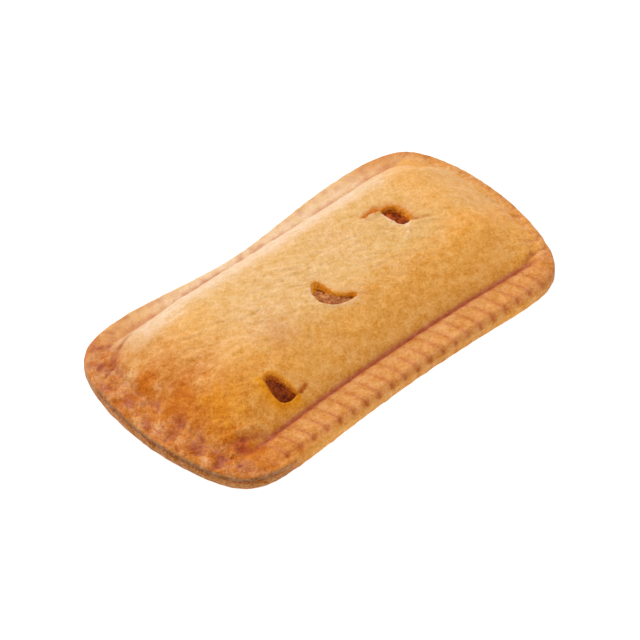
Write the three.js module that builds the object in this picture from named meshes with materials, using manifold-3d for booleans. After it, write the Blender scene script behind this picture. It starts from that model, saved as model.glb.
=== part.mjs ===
// A baked slab turnover: a bottom sheet and a domed top sheet of pastry, crimped together all round,
// and a meat filling that shows through three slits in the dome.
// Millimetres, +Z up, length along X, standing on z = 0 with the middle of its plan at the origin.
import * as THREE from "three";
import { mergeVertices } from "three/addons/utils/BufferGeometryUtils.js";
import Module from "manifold-3d";

const wasm = await Module();
wasm.setup();

// Rim, seen from above: a rounded slab with drawn-in long sides and bowed ends.
const HALF_LENGTH = 75.17;
const HALF_WIDTH = 41.52;
const NEAR_WAIST = { depth: 5.1, x: 10.7, spread: 80 };
const FAR_WAIST = { depth: 4.37, x: -7.8, spread: 33.3 };
const LEFT_END = { bow: 9.42, y: 5.65 };
const RIGHT_END = { bow: 10.67, y: 3.46 };
const CORNER_POWERS = { nearLeft: 9.78, nearRight: 9.54, farLeft: 8.28, farRight: 8.85 };
const SKEW = 0.02;
const PLAN_MIDDLE = new THREE.Vector2(-0.11, 1.15);

// Side of the rim, [height, distance in from the outline], from the top sheet's lip down over the seam
// between the two sheets to the table. The near side is rolled lower and rounder.
const LIP_HEIGHT = { usual: 4.2, near: 3 };
const RIM_ROUNDING = { usual: 1.4, near: 3.4 };
const ROLLED_RIM = { leftX: -52, rightX: 66, y: -24, fade: 8 };
const RIM_SIDE = [
  [3.7, 0.2],
  [3.05, 0.35],
  [2.5, 0.1],
  [1.65, 0],
  [0.6, 0.2],
  [0, 1.1],
];

// Crimped band along both long sides: ridges, lower on the far side, whose valleys fill up inward, and on
// the near side a slanting dimple at the foot of each valley.
const BAND_TOP = 4.8;
const BAND_FADE = { rim: 1.5, dome: 2 };
const RIDGE_HEIGHT = 0.28;
const FAR_RIDGE_SHARE = 0.3;
const RIDGE_POWER = 0.7;
const RIDGE_PITCH = 5.27;
const FIRST_VALLEY_X = 45.6;
const RIDGE_LEAN = 0.1;
const RIDGE_CURL = 0.025;
const VALLEY_FILL = { share: 0.75, from: 3, to: 8.5 };
const NEAR_DIMPLES_Y = -37.2;
const FAR_RIDGES_Y = 35.2;
const DIMPLE = { depth: 0.7, long: 1.15, wide: 0.75 };
const DIMPLE_SLANT = new THREE.Vector2(0.8, 0.6);
const CRIMP_MIDDLE_X = 3;
const CRIMP_HALF_LENGTH = 57;
const CRIMP_FADE = 2;

// Pressed groove between the band and the dome.
const NEAR_GROOVE = { y: -25.4, bow: 1.7, bowX: 5, bowSpan: 50 };
const FAR_GROOVE_Y = 31.8;
const GROOVE = { depth: 0.9, halfWidth: 0.9, offset: 1.05 };
const FAR_GROOVE_SHARE = 0.3;

// Dome: its ends, the width and steepness of the shoulder on each side, the radius of its corners in plan,
// and its rise above the band.
const DOME_LEFT = { x: -66, bow: 3, y: 3, span: 28 };
const DOME_RIGHT = { x: 71.5, bow: -3.5, y: 5, span: 30 };
const SHOULDER = { near: 20, far: 15, left: 32, right: 24 };
const SHOULDER_POWER = { near: 1, far: 0.85, left: 0.85, right: 1.15 };
const DOME_CORNERS = { farLeft: 10, farRight: 15, nearRight: 8 };
const LEAST_DISTANCE = 0.01;
const DOME_RISE = 12.2;
const CROWN = { rise: 1.4, halfLength: 70, halfWidth: 28 };

// Blisters that baking raised on the two ends, spread by steps of irrational size.
const LEFT_BLISTERS = { count: 46, nearest: 2.5, reach: 10, lowest: 0.45 };
const RIGHT_BLISTERS = { count: 22, nearest: 2.5, reach: 6, lowest: 0.25 };
const BLISTER_SPAN_Y = 66;
const BLISTER_RADIUS = 1.7;
const BLISTER_RADIUS_RANGE = 1.6;
const BLISTER_HEIGHT_RANGE = 0.45;
const BLISTER_STEP = { y: 0.618034, x: 0.754878, radius: 0.56984, height: 0.381966 };
const FIRST_BLISTER = 0.3;

// Filling under a crust, over a floor of pastry, with a narrow gap all round it.
const CRUST = 3;
const FLOOR = 3.4;
const FILLING_INSET = { near: 2.2, far: 3, left: 9, right: 6.5 };
const FILLING_CORNER_POWER = 4;
const FILLING_RIM = 0.8;
const FILLING_GAP = 0.32;
const MEAT_LUMP = { depth: 0.9, x: 3.1, y: 2.7 };

// Slits: each opens between two lips that bow from a straight line, by
// (1 - t²)^LIP_POWER · (a + b·t + c·t²) at t from -1 to 1 along it, positive towards its left side.
const LIP_POWER = 0.6;
const LIP_STEPS = 14;
const SLITS = [
  { from: [-39.6, -15.7], to: [-32.5, -22.9], left: [2.1, -1.1, -0.4], right: [-4.4, -0.4, 1.7], foot: 5.2 },
  { from: [-6, -0.1], to: [2.7, -11.1], left: [-0.9, -2.1, 5.1], right: [-6, 2.3, 1], foot: 12 },
  { from: [31.5, 9.6], to: [36.5, 1.2], left: [3.5, -1.6, -0.2], right: [-2, -1.7, -1.5], foot: 12 },
];
const SLIT_HEAD = 25;
const RAISED_LIP = { x: 29.8, y: 8, rise: 0.6, radius: 2.6 };

// Mesh: columns follow the crimp ridges, rows follow the rims, dimples and grooves.
const COLUMNS_PER_RIDGE = 4;
const COLUMNS = 100;
const DOME_ROWS = 14;
const FOLLOW = { reach: 12, endShare: 0.8 };
const FILLING_COLUMNS = 34;
const FILLING_ROWS = 17;

const { clamp, lerp, smoothstep } = THREE.MathUtils;
const bump = (distance, radius) => Math.exp(-((distance / radius) ** 2));
const fraction = (number) => number - Math.floor(number);

const waistDepth = (x, waist) => waist.depth * bump(x - waist.x, waist.spread);
const endSetback = (y, end) => end.bow * ((y - end.y) / HALF_WIDTH) ** 2;

// Moves a point of the square -1..1 by -1..1 in along its ray, so that the corners become round.
function roundCorners(u, v, power) {
  const reach = Math.max(Math.abs(u), Math.abs(v));
  if (reach === 0) return [0, 0];
  const round = (Math.abs(u) ** power + Math.abs(v) ** power) ** (1 / power);
  return [(u * reach) / round, (v * reach) / round];
}

function cornerPower(u, v) {
  if (v < 0) return u < 0 ? CORNER_POWERS.nearLeft : CORNER_POWERS.nearRight;
  return u < 0 ? CORNER_POWERS.farLeft : CORNER_POWERS.farRight;
}

// Plan position of a point of the square.
function rimPlan(u, v) {
  const [along, across] = roundCorners(u, v, cornerPower(u, v));
  const waist = waistDepth(along * HALF_LENGTH, v < 0 ? NEAR_WAIST : FAR_WAIST);
  const y = across * (HALF_WIDTH - waist);
  const x = along * (HALF_LENGTH - endSetback(y, u < 0 ? LEFT_END : RIGHT_END)) + SKEW * y;
  return [x - PLAN_MIDDLE.x, y - PLAN_MIDDLE.y];
}

// Lines across which the cross-section changes: y at x.
const nearRim = (x) => waistDepth(x, NEAR_WAIST) - HALF_WIDTH - PLAN_MIDDLE.y;
const farRim = (x) => HALF_WIDTH - waistDepth(x, FAR_WAIST) - PLAN_MIDDLE.y;
const nearGroove = (x) =>
  NEAR_GROOVE.y - NEAR_GROOVE.bow * ((x - NEAR_GROOVE.bowX) / NEAR_GROOVE.bowSpan) ** 2;
const farGroove = () => FAR_GROOVE_Y;
const domeEnd = (y, end) => end.x + end.bow * ((y - end.y) / end.span) ** 2;

// 1 along the near long side, where the rim is rolled, and 0 elsewhere.
function rolledRim(x, y) {
  const { leftX, rightX, fade } = ROLLED_RIM;
  const along = smoothstep(x, leftX, leftX + fade) * (1 - smoothstep(x, rightX - fade, rightX));
  return along * (1 - smoothstep(y, ROLLED_RIM.y - fade, ROLLED_RIM.y));
}

const lipHeight = (x, y) => lerp(LIP_HEIGHT.usual, LIP_HEIGHT.near, rolledRim(x, y));
const rimRounding = (x, y) => lerp(RIM_ROUNDING.usual, RIM_ROUNDING.near, rolledRim(x, y));

// One side of the dome: 0 at its edge, 1 past the shoulder, a parabola raised to a power between.
const shoulder = (distance, side) =>
  (1 - clamp(1 - distance / SHOULDER[side], 0, 1) ** 2) ** SHOULDER_POWER[side];

// Share of its distances from two sides that a place keeps, so that an arc of the radius joins the sides.
function cornerShare(a, b, radius) {
  const inside = radius - Math.hypot(Math.max(radius - a, 0), Math.max(radius - b, 0));
  return clamp(inside / clamp(Math.min(a, b), LEAST_DISTANCE, radius), 0, 1);
}

function domeHeight(x, y) {
  const near = y - nearGroove(x);
  const far = farGroove(x) - y;
  const left = x - domeEnd(y, DOME_LEFT);
  const right = domeEnd(y, DOME_RIGHT) - x;
  const keep = Math.min(
    cornerShare(left, far, DOME_CORNERS.farLeft),
    cornerShare(right, far, DOME_CORNERS.farRight),
    cornerShare(right, near, DOME_CORNERS.nearRight),
  );
  const inside =
    shoulder(near * keep, "near") *
    shoulder(far * keep, "far") *
    shoulder(left * keep, "left") *
    shoulder(right * keep, "right");
  const crown =
    CROWN.rise *
    clamp(1 - (y / CROWN.halfWidth) ** 2, 0, 1) *
    clamp(1 - (x / CROWN.halfLength) ** 2, 0, 1);
  return (DOME_RISE + crown) * inside;
}

const ridgeLean = (t) => RIDGE_LEAN * t + RIDGE_CURL * t * t;

// Ridges t inward from the outer edge of a band that is `width` wide.
function ridgeHeight(x, t, width) {
  if (t <= 0 || t >= width) return 0;
  const phase = (x + ridgeLean(t) - FIRST_VALLEY_X) / RIDGE_PITCH;
  const valley = 1 - Math.abs(Math.sin(Math.PI * phase)) ** RIDGE_POWER;
  const filled = VALLEY_FILL.share * smoothstep(t, VALLEY_FILL.from, VALLEY_FILL.to);
  const ends = clamp(t / BAND_FADE.rim, 0, 1) * clamp((width - t) / BAND_FADE.dome, 0, 1);
  return RIDGE_HEIGHT * (1 - valley * (1 - filled)) * ends;
}

// Dimples that lie aslant at the foot of each valley.
function dimpleDepth(x, t) {
  const away = (fraction((x - FIRST_VALLEY_X) / RIDGE_PITCH + 0.5) - 0.5) * RIDGE_PITCH;
  const along = DIMPLE_SLANT.x * away + DIMPLE_SLANT.y * t;
  const across = DIMPLE_SLANT.x * t - DIMPLE_SLANT.y * away;
  return DIMPLE.depth * bump(along, DIMPLE.long) * bump(across, DIMPLE.wide);
}

// The crimped bands and the grooves.
function crimpHeight(x, y) {
  const near = nearGroove(x);
  const far = farGroove(x);
  const nearIn = y - NEAR_DIMPLES_Y;
  const farIn = FAR_RIDGES_Y - y;
  const nearRidges = ridgeHeight(x, nearIn, near - NEAR_DIMPLES_Y);
  const farRidges = FAR_RIDGE_SHARE * ridgeHeight(-x, farIn, FAR_RIDGES_Y - far);
  const nearDent = GROOVE.depth * bump(y - near + GROOVE.offset, GROOVE.halfWidth);
  const farDent = FAR_GROOVE_SHARE * GROOVE.depth * bump(y - far - GROOVE.offset, GROOVE.halfWidth);
  const end = (Math.abs(x - CRIMP_MIDDLE_X) - CRIMP_HALF_LENGTH) / CRIMP_FADE;
  return (nearRidges + farRidges - dimpleDepth(x, nearIn) - nearDent - farDent) / (1 + Math.exp(end));
}

function makeBlisters(zone, side, rimX) {
  return Array.from({ length: zone.count }, (_, i) => {
    const y = (fraction(BLISTER_STEP.y * i + FIRST_BLISTER) - 0.5) * BLISTER_SPAN_Y;
    return {
      x: rimX(y) - side * (zone.nearest + zone.reach * fraction(BLISTER_STEP.x * i)),
      y,
      radius: BLISTER_RADIUS + BLISTER_RADIUS_RANGE * fraction(BLISTER_STEP.radius * i),
      height: zone.lowest + BLISTER_HEIGHT_RANGE * fraction(BLISTER_STEP.height * i),
    };
  });
}

const rimEndX = (side, end) => (y) =>
  side * (HALF_LENGTH - endSetback(y + PLAN_MIDDLE.y, end)) + SKEW * y - PLAN_MIDDLE.x;
const BLISTERS = [
  ...makeBlisters(LEFT_BLISTERS, -1, rimEndX(-1, LEFT_END)),
  ...makeBlisters(RIGHT_BLISTERS, 1, rimEndX(1, RIGHT_END)),
];

function blisterHeight(x, y) {
  let height = 0;
  for (const b of BLISTERS)
    height = Math.max(height, b.height * bump(Math.hypot(x - b.x, y - b.y), b.radius));
  return height;
}

function topHeight(x, y) {
  const lip = RAISED_LIP.rise * bump(Math.hypot(x - RAISED_LIP.x, y - RAISED_LIP.y), RAISED_LIP.radius);
  return BAND_TOP + domeHeight(x, y) + crimpHeight(x, y) + blisterHeight(x, y) + lip;
}

// Rounds the top down to the lip over the outermost part of the rim.
function roundedTop(x, y, u, v) {
  const fromEdge = Math.min((1 - Math.abs(u)) * HALF_LENGTH, (1 - Math.abs(v)) * HALF_WIDTH);
  const rise = Math.sqrt(1 - (1 - clamp(fromEdge / rimRounding(x, y), 0, 1)) ** 2);
  return lerp(lipHeight(x, y), topHeight(x, y), rise);
}

// Rows of vertices from near to far: stations [y at x, steps to the next station].
const STATIONS = [
  [nearRim, 2],
  [() => NEAR_DIMPLES_Y, 2],
  [(x) => Math.max(nearRim(x) + RIM_ROUNDING.near, NEAR_DIMPLES_Y + DIMPLE.long), 4],
  [(x) => nearGroove(x) - GROOVE.offset - GROOVE.halfWidth, 1],
  [(x) => nearGroove(x) - GROOVE.offset, 1],
  [nearGroove, DOME_ROWS],
  [farGroove, 1],
  [(x) => farGroove(x) + GROOVE.offset, 1],
  [() => FAR_RIDGES_Y, 2],
  [farRim, 0],
];
const ROW_LINES = STATIONS.flatMap(([line, steps], k) =>
  Array.from({ length: Math.max(steps, k + 1 === STATIONS.length ? 1 : 0) }, (_, i) => (x) =>
    steps ? lerp(line(x), STATIONS[k + 1][0](x), i / steps) : line(x),
  ),
);

// Where column i crosses y so that four columns keep to each leaning ridge.
function ridgeColumnX(i, y) {
  const step = RIDGE_PITCH / COLUMNS_PER_RIDGE;
  const x = (i - COLUMNS / 2) * step;
  const shift = Math.ceil(FIRST_VALLEY_X / step) * step - FIRST_VALLEY_X;
  if (y < 0) return x - shift - ridgeLean(Math.max(y - NEAR_DIMPLES_Y, 0));
  return x + shift + ridgeLean(Math.max(FAR_RIDGES_Y - y, 0));
}

function pastryPoint(i, j) {
  const even = (2 * i) / COLUMNS - 1;
  const evenX = even * HALF_LENGTH;
  const y = ROW_LINES[j](evenX);
  const rimY = y < 0 ? -nearRim(evenX) - PLAN_MIDDLE.y : farRim(evenX) + PLAN_MIDDLE.y;
  const v = clamp((y + PLAN_MIDDLE.y) / rimY, -1, 1);
  const setback = endSetback(y + PLAN_MIDDLE.y, even < 0 ? LEFT_END : RIGHT_END);
  const onRidge = (ridgeColumnX(i, y) + PLAN_MIDDLE.x - SKEW * y) / (HALF_LENGTH - setback);
  const inDome = Math.min(y - nearGroove(0), farGroove(0) - y);
  const towardsEnd = smoothstep(Math.abs(even), FOLLOW.endShare, 1);
  const follow = (1 - smoothstep(inDome, 0, FOLLOW.reach)) * (1 - towardsEnd);
  const u = lerp(even, onRidge, follow);
  const [px, py] = rimPlan(u, v);
  return new THREE.Vector3(px, py, roundedTop(px, py, u, v));
}

// Plan of the filling: the dome's outline drawn in by the insets and a margin, its corners round.
function fillingPlan(u, v, margin) {
  const [along, across] = roundCorners(u, v, FILLING_CORNER_POWER);
  const inset = (side) => FILLING_INSET[side] + margin;
  const left = DOME_LEFT.x + inset("left");
  const right = DOME_RIGHT.x - inset("right");
  const x = lerp(left, right, (along + 1) / 2);
  const y = lerp(nearGroove(x) + inset("near"), farGroove(x) - inset("far"), (across + 1) / 2);
  return [x, y];
}

// A point on the roof of the space under the crust, lowered by the margin and by lumps of meat.
function fillingPoint(i, j, margin, lumps) {
  const [x, y] = fillingPlan((2 * i) / FILLING_COLUMNS - 1, (2 * j) / FILLING_ROWS - 1, margin);
  const roof = BAND_TOP + domeHeight(x, y) - CRUST - margin;
  const acrossLumps = y / MEAT_LUMP.y;
  const wave = Math.sin(x / MEAT_LUMP.x + Math.sin(acrossLumps)) * Math.cos(acrossLumps);
  return new THREE.Vector3(x, y, Math.max(roof - (lumps * (1 + wave)) / 2, FLOOR + FILLING_RIM));
}

// A closed mound: a grid of points, rings down its side, each [height, inset], and a flat base. `share`
// gives how much of the rings' height is left at a place.
function mound(columns, rows, point, side, share) {
  const points = [];
  const faces = [];
  const at = (i, j) => i * (rows + 1) + j;
  for (let i = 0; i <= columns; i++) for (let j = 0; j <= rows; j++) points.push(point(i, j));
  for (let i = 0; i < columns; i++)
    for (let j = 0; j < rows; j++) {
      faces.push(at(i, j), at(i + 1, j), at(i + 1, j + 1));
      faces.push(at(i, j), at(i + 1, j + 1), at(i, j + 1));
    }

  const edge = [];
  for (let i = 0; i < columns; i++) edge.push(at(i, 0));
  for (let j = 0; j < rows; j++) edge.push(at(columns, j));
  for (let i = columns; i > 0; i--) edge.push(at(i, rows));
  for (let j = rows; j > 0; j--) edge.push(at(0, j));

  const outward = edge.map((_, k) => {
    const before = points[edge.at(k - 1)];
    const after = points[edge[(k + 1) % edge.length]];
    return new THREE.Vector2(after.y - before.y, before.x - after.x).normalize();
  });
  let upper = edge;
  for (const [height, inset] of side) {
    const lower = edge.map((corner, k) => {
      const { x, y } = points[corner];
      const z = height * share(x, y);
      points.push(new THREE.Vector3(x - outward[k].x * inset, y - outward[k].y * inset, z));
      return points.length - 1;
    });
    upper.forEach((corner, k) => {
      const next = (k + 1) % upper.length;
      faces.push(corner, lower[k], lower[next], corner, lower[next], upper[next]);
    });
    upper = lower;
  }

  const middle = points.push(new THREE.Vector3(0, 0, side.at(-1)[0])) - 1;
  upper.forEach((corner, k) => faces.push(middle, upper[(k + 1) % upper.length], corner));
  return new THREE.BufferGeometry().setFromPoints(points).setIndex(faces);
}

function toSolid(geometry) {
  const bare = geometry.clone();
  bare.deleteAttribute("normal");
  bare.deleteAttribute("uv");
  const merged = mergeVertices(bare);
  return new wasm.Manifold(
    new wasm.Mesh({
      numProp: 3,
      vertProperties: merged.attributes.position.array,
      triVerts: new Uint32Array(merged.index.array),
    }),
  );
}

function toMesh(solid, name, material) {
  const { numProp, vertProperties, triVerts } = solid.getMesh();
  const geometry = new THREE.BufferGeometry();
  geometry.setAttribute("position", new THREE.BufferAttribute(vertProperties, numProp));
  geometry.setIndex(new THREE.BufferAttribute(triVerts, 1));
  geometry.computeVertexNormals();
  const mesh = new THREE.Mesh(geometry, material);
  mesh.name = name;
  return mesh;
}

// Points along one lip of a slit.
function lipPoints(slit, [a, b, c]) {
  const from = new THREE.Vector2(...slit.from);
  const along = new THREE.Vector2(...slit.to).sub(from);
  const across = new THREE.Vector2(-along.y, along.x).normalize();
  return Array.from({ length: LIP_STEPS + 1 }, (_, i) => {
    const t = -Math.cos((Math.PI * i) / LIP_STEPS);
    const bow = (1 - t * t) ** LIP_POWER * (a + b * t + c * t * t);
    return from.clone().addScaledVector(along, (t + 1) / 2).addScaledVector(across, bow);
  });
}

// The upright hole that a slit makes, from its foot in the filling's space to above the dome.
function slitSolid(slit) {
  const left = lipPoints(slit, slit.left);
  const right = lipPoints(slit, slit.right).slice(1, -1).reverse();
  const hole = new THREE.ExtrudeGeometry(new THREE.Shape([...left, ...right]), {
    depth: SLIT_HEAD - slit.foot,
    bevelEnabled: false,
  });
  return toSolid(hole.translate(0, 0, slit.foot));
}

function makePastry() {
  const lowered = (x, y) => lipHeight(x, y) / LIP_HEIGHT.usual;
  const outside = mound(COLUMNS, ROW_LINES.length - 1, pastryPoint, RIM_SIDE, lowered);
  const roof = (i, j) => fillingPoint(i, j, 0, 0);
  const space = mound(FILLING_COLUMNS, FILLING_ROWS, roof, [[FLOOR, 0]], () => 1);
  let solid = toSolid(outside).subtract(toSolid(space));
  for (const slit of SLITS) solid = solid.subtract(slitSolid(slit));
  const baked = new THREE.MeshStandardMaterial({ color: 0xdc9a55, roughness: 0.55, metalness: 0 });
  return toMesh(solid, "pastry", baked);
}

function makeFilling() {
  const base = [[FLOOR + FILLING_GAP, 0]];
  const point = (i, j) => fillingPoint(i, j, FILLING_GAP, MEAT_LUMP.depth);
  const solid = toSolid(mound(FILLING_COLUMNS, FILLING_ROWS, point, base, () => 1));
  const meat = new THREE.MeshStandardMaterial({ color: 0x7a3a24, roughness: 0.45, metalness: 0 });
  return toMesh(solid, "filling", meat);
}

const turnover = new THREE.Group();
turnover.add(makePastry(), makeFilling());

export default turnover;
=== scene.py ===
"""Baked turnover slice: a crimped pastry case with a low dome and three open slits, and its meat filling.

Shapes are worked out in millimetres as functions on grids, and go into the meshes in metres.
"""

import math

import bpy
import numpy as np
from bpy.props import FloatProperty, FloatVectorProperty, PointerProperty
from bpy.types import Operator, Panel, PropertyGroup
from mathutils import Matrix, Vector


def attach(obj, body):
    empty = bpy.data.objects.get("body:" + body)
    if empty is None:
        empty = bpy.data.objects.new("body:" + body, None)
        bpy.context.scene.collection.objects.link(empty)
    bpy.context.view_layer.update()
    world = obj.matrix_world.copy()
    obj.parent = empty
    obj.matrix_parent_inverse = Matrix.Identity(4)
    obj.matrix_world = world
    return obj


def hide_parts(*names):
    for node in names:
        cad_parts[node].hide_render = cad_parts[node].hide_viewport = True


bl_info = {
    "name": "Baked turnover slice",
    "version": (1, 0, 0),
    "blender": (4, 5, 0),
    "location": "View3D > Sidebar > Turnover",
    "description": "Builds a crimped turnover slice with its filling, and a plain stage for it",
    "category": "Object",
}

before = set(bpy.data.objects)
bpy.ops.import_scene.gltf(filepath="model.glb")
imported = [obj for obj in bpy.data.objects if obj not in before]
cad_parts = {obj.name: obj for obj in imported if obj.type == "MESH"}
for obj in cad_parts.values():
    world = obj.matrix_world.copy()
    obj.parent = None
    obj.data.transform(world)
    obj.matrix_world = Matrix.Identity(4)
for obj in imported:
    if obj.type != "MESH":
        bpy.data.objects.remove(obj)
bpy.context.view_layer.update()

MM = 0.001
ROOT = "root"

# Plan of the rim, in mm.
HALF_LENGTH = 75.17
HALF_WIDTH = 41.52
NEAR_WAIST = {"depth": 5.1, "x": 10.7, "spread": 80.0}
FAR_WAIST = {"depth": 4.37, "x": -7.8, "spread": 33.3}
LEFT_END = {"bow": 9.42, "y": 5.65}
RIGHT_END = {"bow": 10.67, "y": 3.46}
CORNER_POWERS = {"near_left": 9.78, "near_right": 9.54, "far_left": 8.28, "far_right": 8.85}
SKEW = 0.02
PLAN_MIDDLE = (-0.11, 1.15)
OUTLINE_WOBBLE = 0.05

# Side of the rim, (height, distance in where the sheets are pressed shut, and where they stand open),
# from the top sheet's cut edge down over the seam and the bottom sheet to the table. Over the rim's width
# its wobble and setback fade out, and the rings of the flat base are given as shares of its outline.
LIP_HEIGHT = {"usual": 4.2, "near": 3.0}
LIP_SETBACK = 0.6
RIM_ROUNDING = {"usual": 1.4, "near": 3.4}
NEAR_RIM = {"left_x": -52.0, "right_x": 66.0, "fade": 8.0, "y": -24.0}
RIM_SIDE = (
    (4.00, 0.0, 0.55), (3.70, 0.0, 0.50), (3.40, 0.0, 0.52), (3.20, 0.0, 0.58), (3.06, 0.0, 0.66),
    (2.93, 0.0, 0.56), (2.78, 0.0, 0.40), (2.50, 0.0, 0.18), (2.15, 0.0, 0.05), (1.65, 0.0, 0.0),
    (1.20, 0.02, 0.02), (0.78, 0.10, 0.10), (0.40, 0.28, 0.28), (0.13, 0.60, 0.60), (0.0, 1.10, 1.10),
)
SIDE_ROUGHNESS = {"loose": 0.03, "ragged": 0.16}
RIM_WIDTH = 3.0
BASE_RINGS = (0.9, 0.5)
OPEN_SEAM = {"left_x": -50.0, "fade": 8.0, "far_y": 26.0}

# Crimped bands and pressed grooves.
BAND_TOP = 4.8
RIDGE_LEAN = 0.1
RIDGE_CURL = 0.025
RIDGE_POWER = 0.7
RIDGE_UNEVENNESS = 0.18
BAND_FADE = {"outer": 1.5, "inner": 2.0}
VALLEY_FILL = {"share": 0.75, "from": 3.0, "to": 8.5}
FIRST_VALLEY_X = 45.6
NEAR_DIMPLES_Y = -37.2
FAR_DIMPLES_Y = 35.2
DIMPLE = {"long": 1.15, "wide": 0.75}
DIMPLE_SLANT = (0.8, 0.6)
CRIMP_MIDDLE_X = 3.0
CRIMP_HALF_LENGTH = 57.0
CRIMP_FADE = 2.0
NEAR_GROOVE = {"y": -25.4, "bow": 1.7, "x": 5.0, "span": 50.0}
FAR_GROOVE_Y = 31.8
GROOVE = {"half_width": 0.9, "offset": 1.05}
FAR_GROOVE_SHARE = 0.3
FAR_BAND_SHARE = 0.3

# Dome: its ends, and the width of the shoulder on each side.
DOME_LEFT = {"x": -66.0, "bow": 3.0, "y": 3.0, "span": 28.0}
DOME_RIGHT = {"x": 71.5, "bow": -3.5, "y": 5.0, "span": 30.0}
SHOULDER = {"near": 20.0, "far": 15.0, "left": 32.0, "right": 24.0}
SHOULDER_POWER = {"near": 1.0, "far": 0.85, "left": 0.85, "right": 1.15}
DOME_CORNERS = {"far_left": 10.0, "far_right": 15.0, "near_right": 8.0}
CROWN = {"half_length": 70.0, "half_width": 28.0}

# Blisters that baking raised on the two ends, spread by steps of irrational size.
LEFT_BLISTERS = {"count": 46, "nearest": 2.5, "reach": 10.0, "lowest": 0.45}
RIGHT_BLISTERS = {"count": 22, "nearest": 2.5, "reach": 6.0, "lowest": 0.25}
BLISTER_SPAN_Y = 66.0
BLISTER_RADIUS = 1.7
BLISTER_RADIUS_RANGE = 1.6
BLISTER_HEIGHT_RANGE = 0.45

# Cragged skin on the two ends: where it fades out, in mm from the rim, and its knobs on two sizes of cells
# (size of the cells, radius, share of the height, height of the lowest knob, seed).
CRAG_ZONE = {"left": (8.5, 12.5), "right": (3.5, 7.5), "right_share": 0.5, "ragged": 1.6}
CRAGS = ((2.2, 1.8, 0.58, 0.45, 11), (1.1, 0.9, 0.42, 0.40, 21))
CRAG_LEVEL = 0.45
KNOB_WARP = 0.5
PATCH_WARP = 0.3

# Random fields of the crust: seed, shortest and longest wave; and how high each stands.
FIELDS = {
    "swell": (1, 12, 38), "puff": (2, 3.5, 9), "pebble": (3, 1.2, 3), "uneven": (4, 7, 22),
    "warp": (5, 4, 12),
}
FIELD_HEIGHT = {"swell": 0.22, "puff": 0.045, "pebble": 0.028, "wrinkle": 0.115}

# Slanting wrinkles: their waves, the direction of their crests, and where they show most (x, y, reach, and
# how much shorter they reach across), above the share that shows all over.
WRINKLES = {"seed": 6, "shortest": 1.6, "longest": 4.5, "spread": 0.3}
WRINKLE_HEADING = -0.45
WRINKLE_ZONES = ((22, 6, 20, 1.3), (-12, 6, 14, 1.0), (-44, 8, 12, 1.0))
WRINKLE_SHARE = 0.35

# Slits: ends, bow of each lip (a + b t + c t^2 with t from -1 to 1), the block of the grid that each
# takes, how oily its near lip is, how darkly its wall baked, how brown its far lip is, and how far the
# meat swells up in it. The patch round a slit has rings that lie closer towards its lip.
LIP_POWER = 0.6
LIP_RADIUS = 0.4
SLIT_RINGS = 16
RING_SPACING = 1.5
SLITS = {
    "near": {
        "from": (-39.6, -15.7), "to": (-32.5, -22.9), "left": (2.1, -1.1, -0.4), "right": (-4.4, -0.4, 1.7),
        "block": (-47.0, -26.2, -26.5, -9.5), "oil": 1.0, "baked": 0.7, "browned": 0.0, "full": 0.95,
    },
    "middle": {
        "from": (-6.0, -0.1), "to": (2.7, -11.1), "left": (-0.9, -2.1, 5.1), "right": (-6.0, 2.3, 1.0),
        "block": (-14.5, -17.5, 9.5, 6.0), "oil": 0.0, "baked": 0.05, "browned": 0.15, "full": 1.35,
    },
    "flap": {
        "from": (31.5, 9.6), "to": (36.5, 1.2), "left": (3.5, -1.6, -0.2), "right": (-2.0, -1.7, -1.5),
        "block": (24.5, -6.0, 43.5, 17.0), "oil": 0.0, "baked": 0.9, "browned": 0.8, "full": 1.1,
    },
}

# Wall of a slit: each step's depth below the lip, and how far its two sides have drawn together.
WALL_STEPS = (
    (0.2, 0.04), (0.4, 0.09), (0.65, 0.15), (0.9, 0.21), (1.15, 0.26), (1.4, 0.31), (1.7, 0.35),
    (2.0, 0.38), (2.4, 0.41), (2.8, 0.43), (3.2, 0.44),
)
WALL_ROUGHNESS = 0.05

# Raised places: x, y at each end, rise, half width, and how strongly a painted highlight lightens them.
RAISED = (
    (-59.3, -21.6, -56.1, -22.3, 0.30, 0.9, 0.15),
    (-56.1, -22.3, -51.5, -23.6, 0.40, 0.9, 0.2), (-51.5, -23.6, -47.4, -25.0, 0.35, 0.8, 0.15),
    (-68.9, -22.1, -67.6, -23.6, 0.4, 1.5, 0.3), (-64.8, 17.8, -65.2, 16.6, 0.3, 1.2, 0.5),
    (-67.5, 9.3, -67.7, 8.2, 0.3, 1.1, 0.5), (33.9, 0.0, 32.2, -2.6, 0.25, 0.7, 0.6),
    (32.2, -2.6, 29.7, -4.0, 0.2, 0.7, 0.4), (37.5, -1.0, 42.0, -3.2, 0.18, 0.6, 0.3),
)

# Edges that lift on their near side, which a painted highlight lightens: x, y at each end from left to right,
# rise, and how far it reaches.
LIFTED = (
    (25.9, 10.9, 28.8, 10.5, 0.3, 1.8), (28.8, 10.5, 31.5, 9.5, 0.55, 2.2), (31.5, 9.5, 31.8, 5.0, 0.4, 2.2),
)

# How far the outlines of pits and stains fray.
PIT_FRAY = 0.3
STAIN_FRAY = 0.25

# Pressed-in places, darkened towards the middle as painted shade: x, y, radius, depth.
PITS = (
    (-67.0, 27.0, 1.8, 0.35), (-71.0, 19.0, 1.7, 0.45), (-70.0, 10.0, 1.9, 0.40), (-72.0, 0.0, 1.6, 0.35),
    (-68.9, -8.2, 1.8, 0.40), (-67.4, -17.0, 2.2, 0.60), (-64.6, -25.9, 1.9, 0.55), (-57.2, -27.1, 1.8, 0.40),
    (-59.4, 2.7, 1.1, 0.15), (-60.5, -13.3, 1.3, 0.15), (-62.0, -31.5, 1.3, 0.30), (-64.9, -6.7, 1.9, 0.35),
    (-64.3, -22.6, 1.3, 0.35),
)
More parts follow.
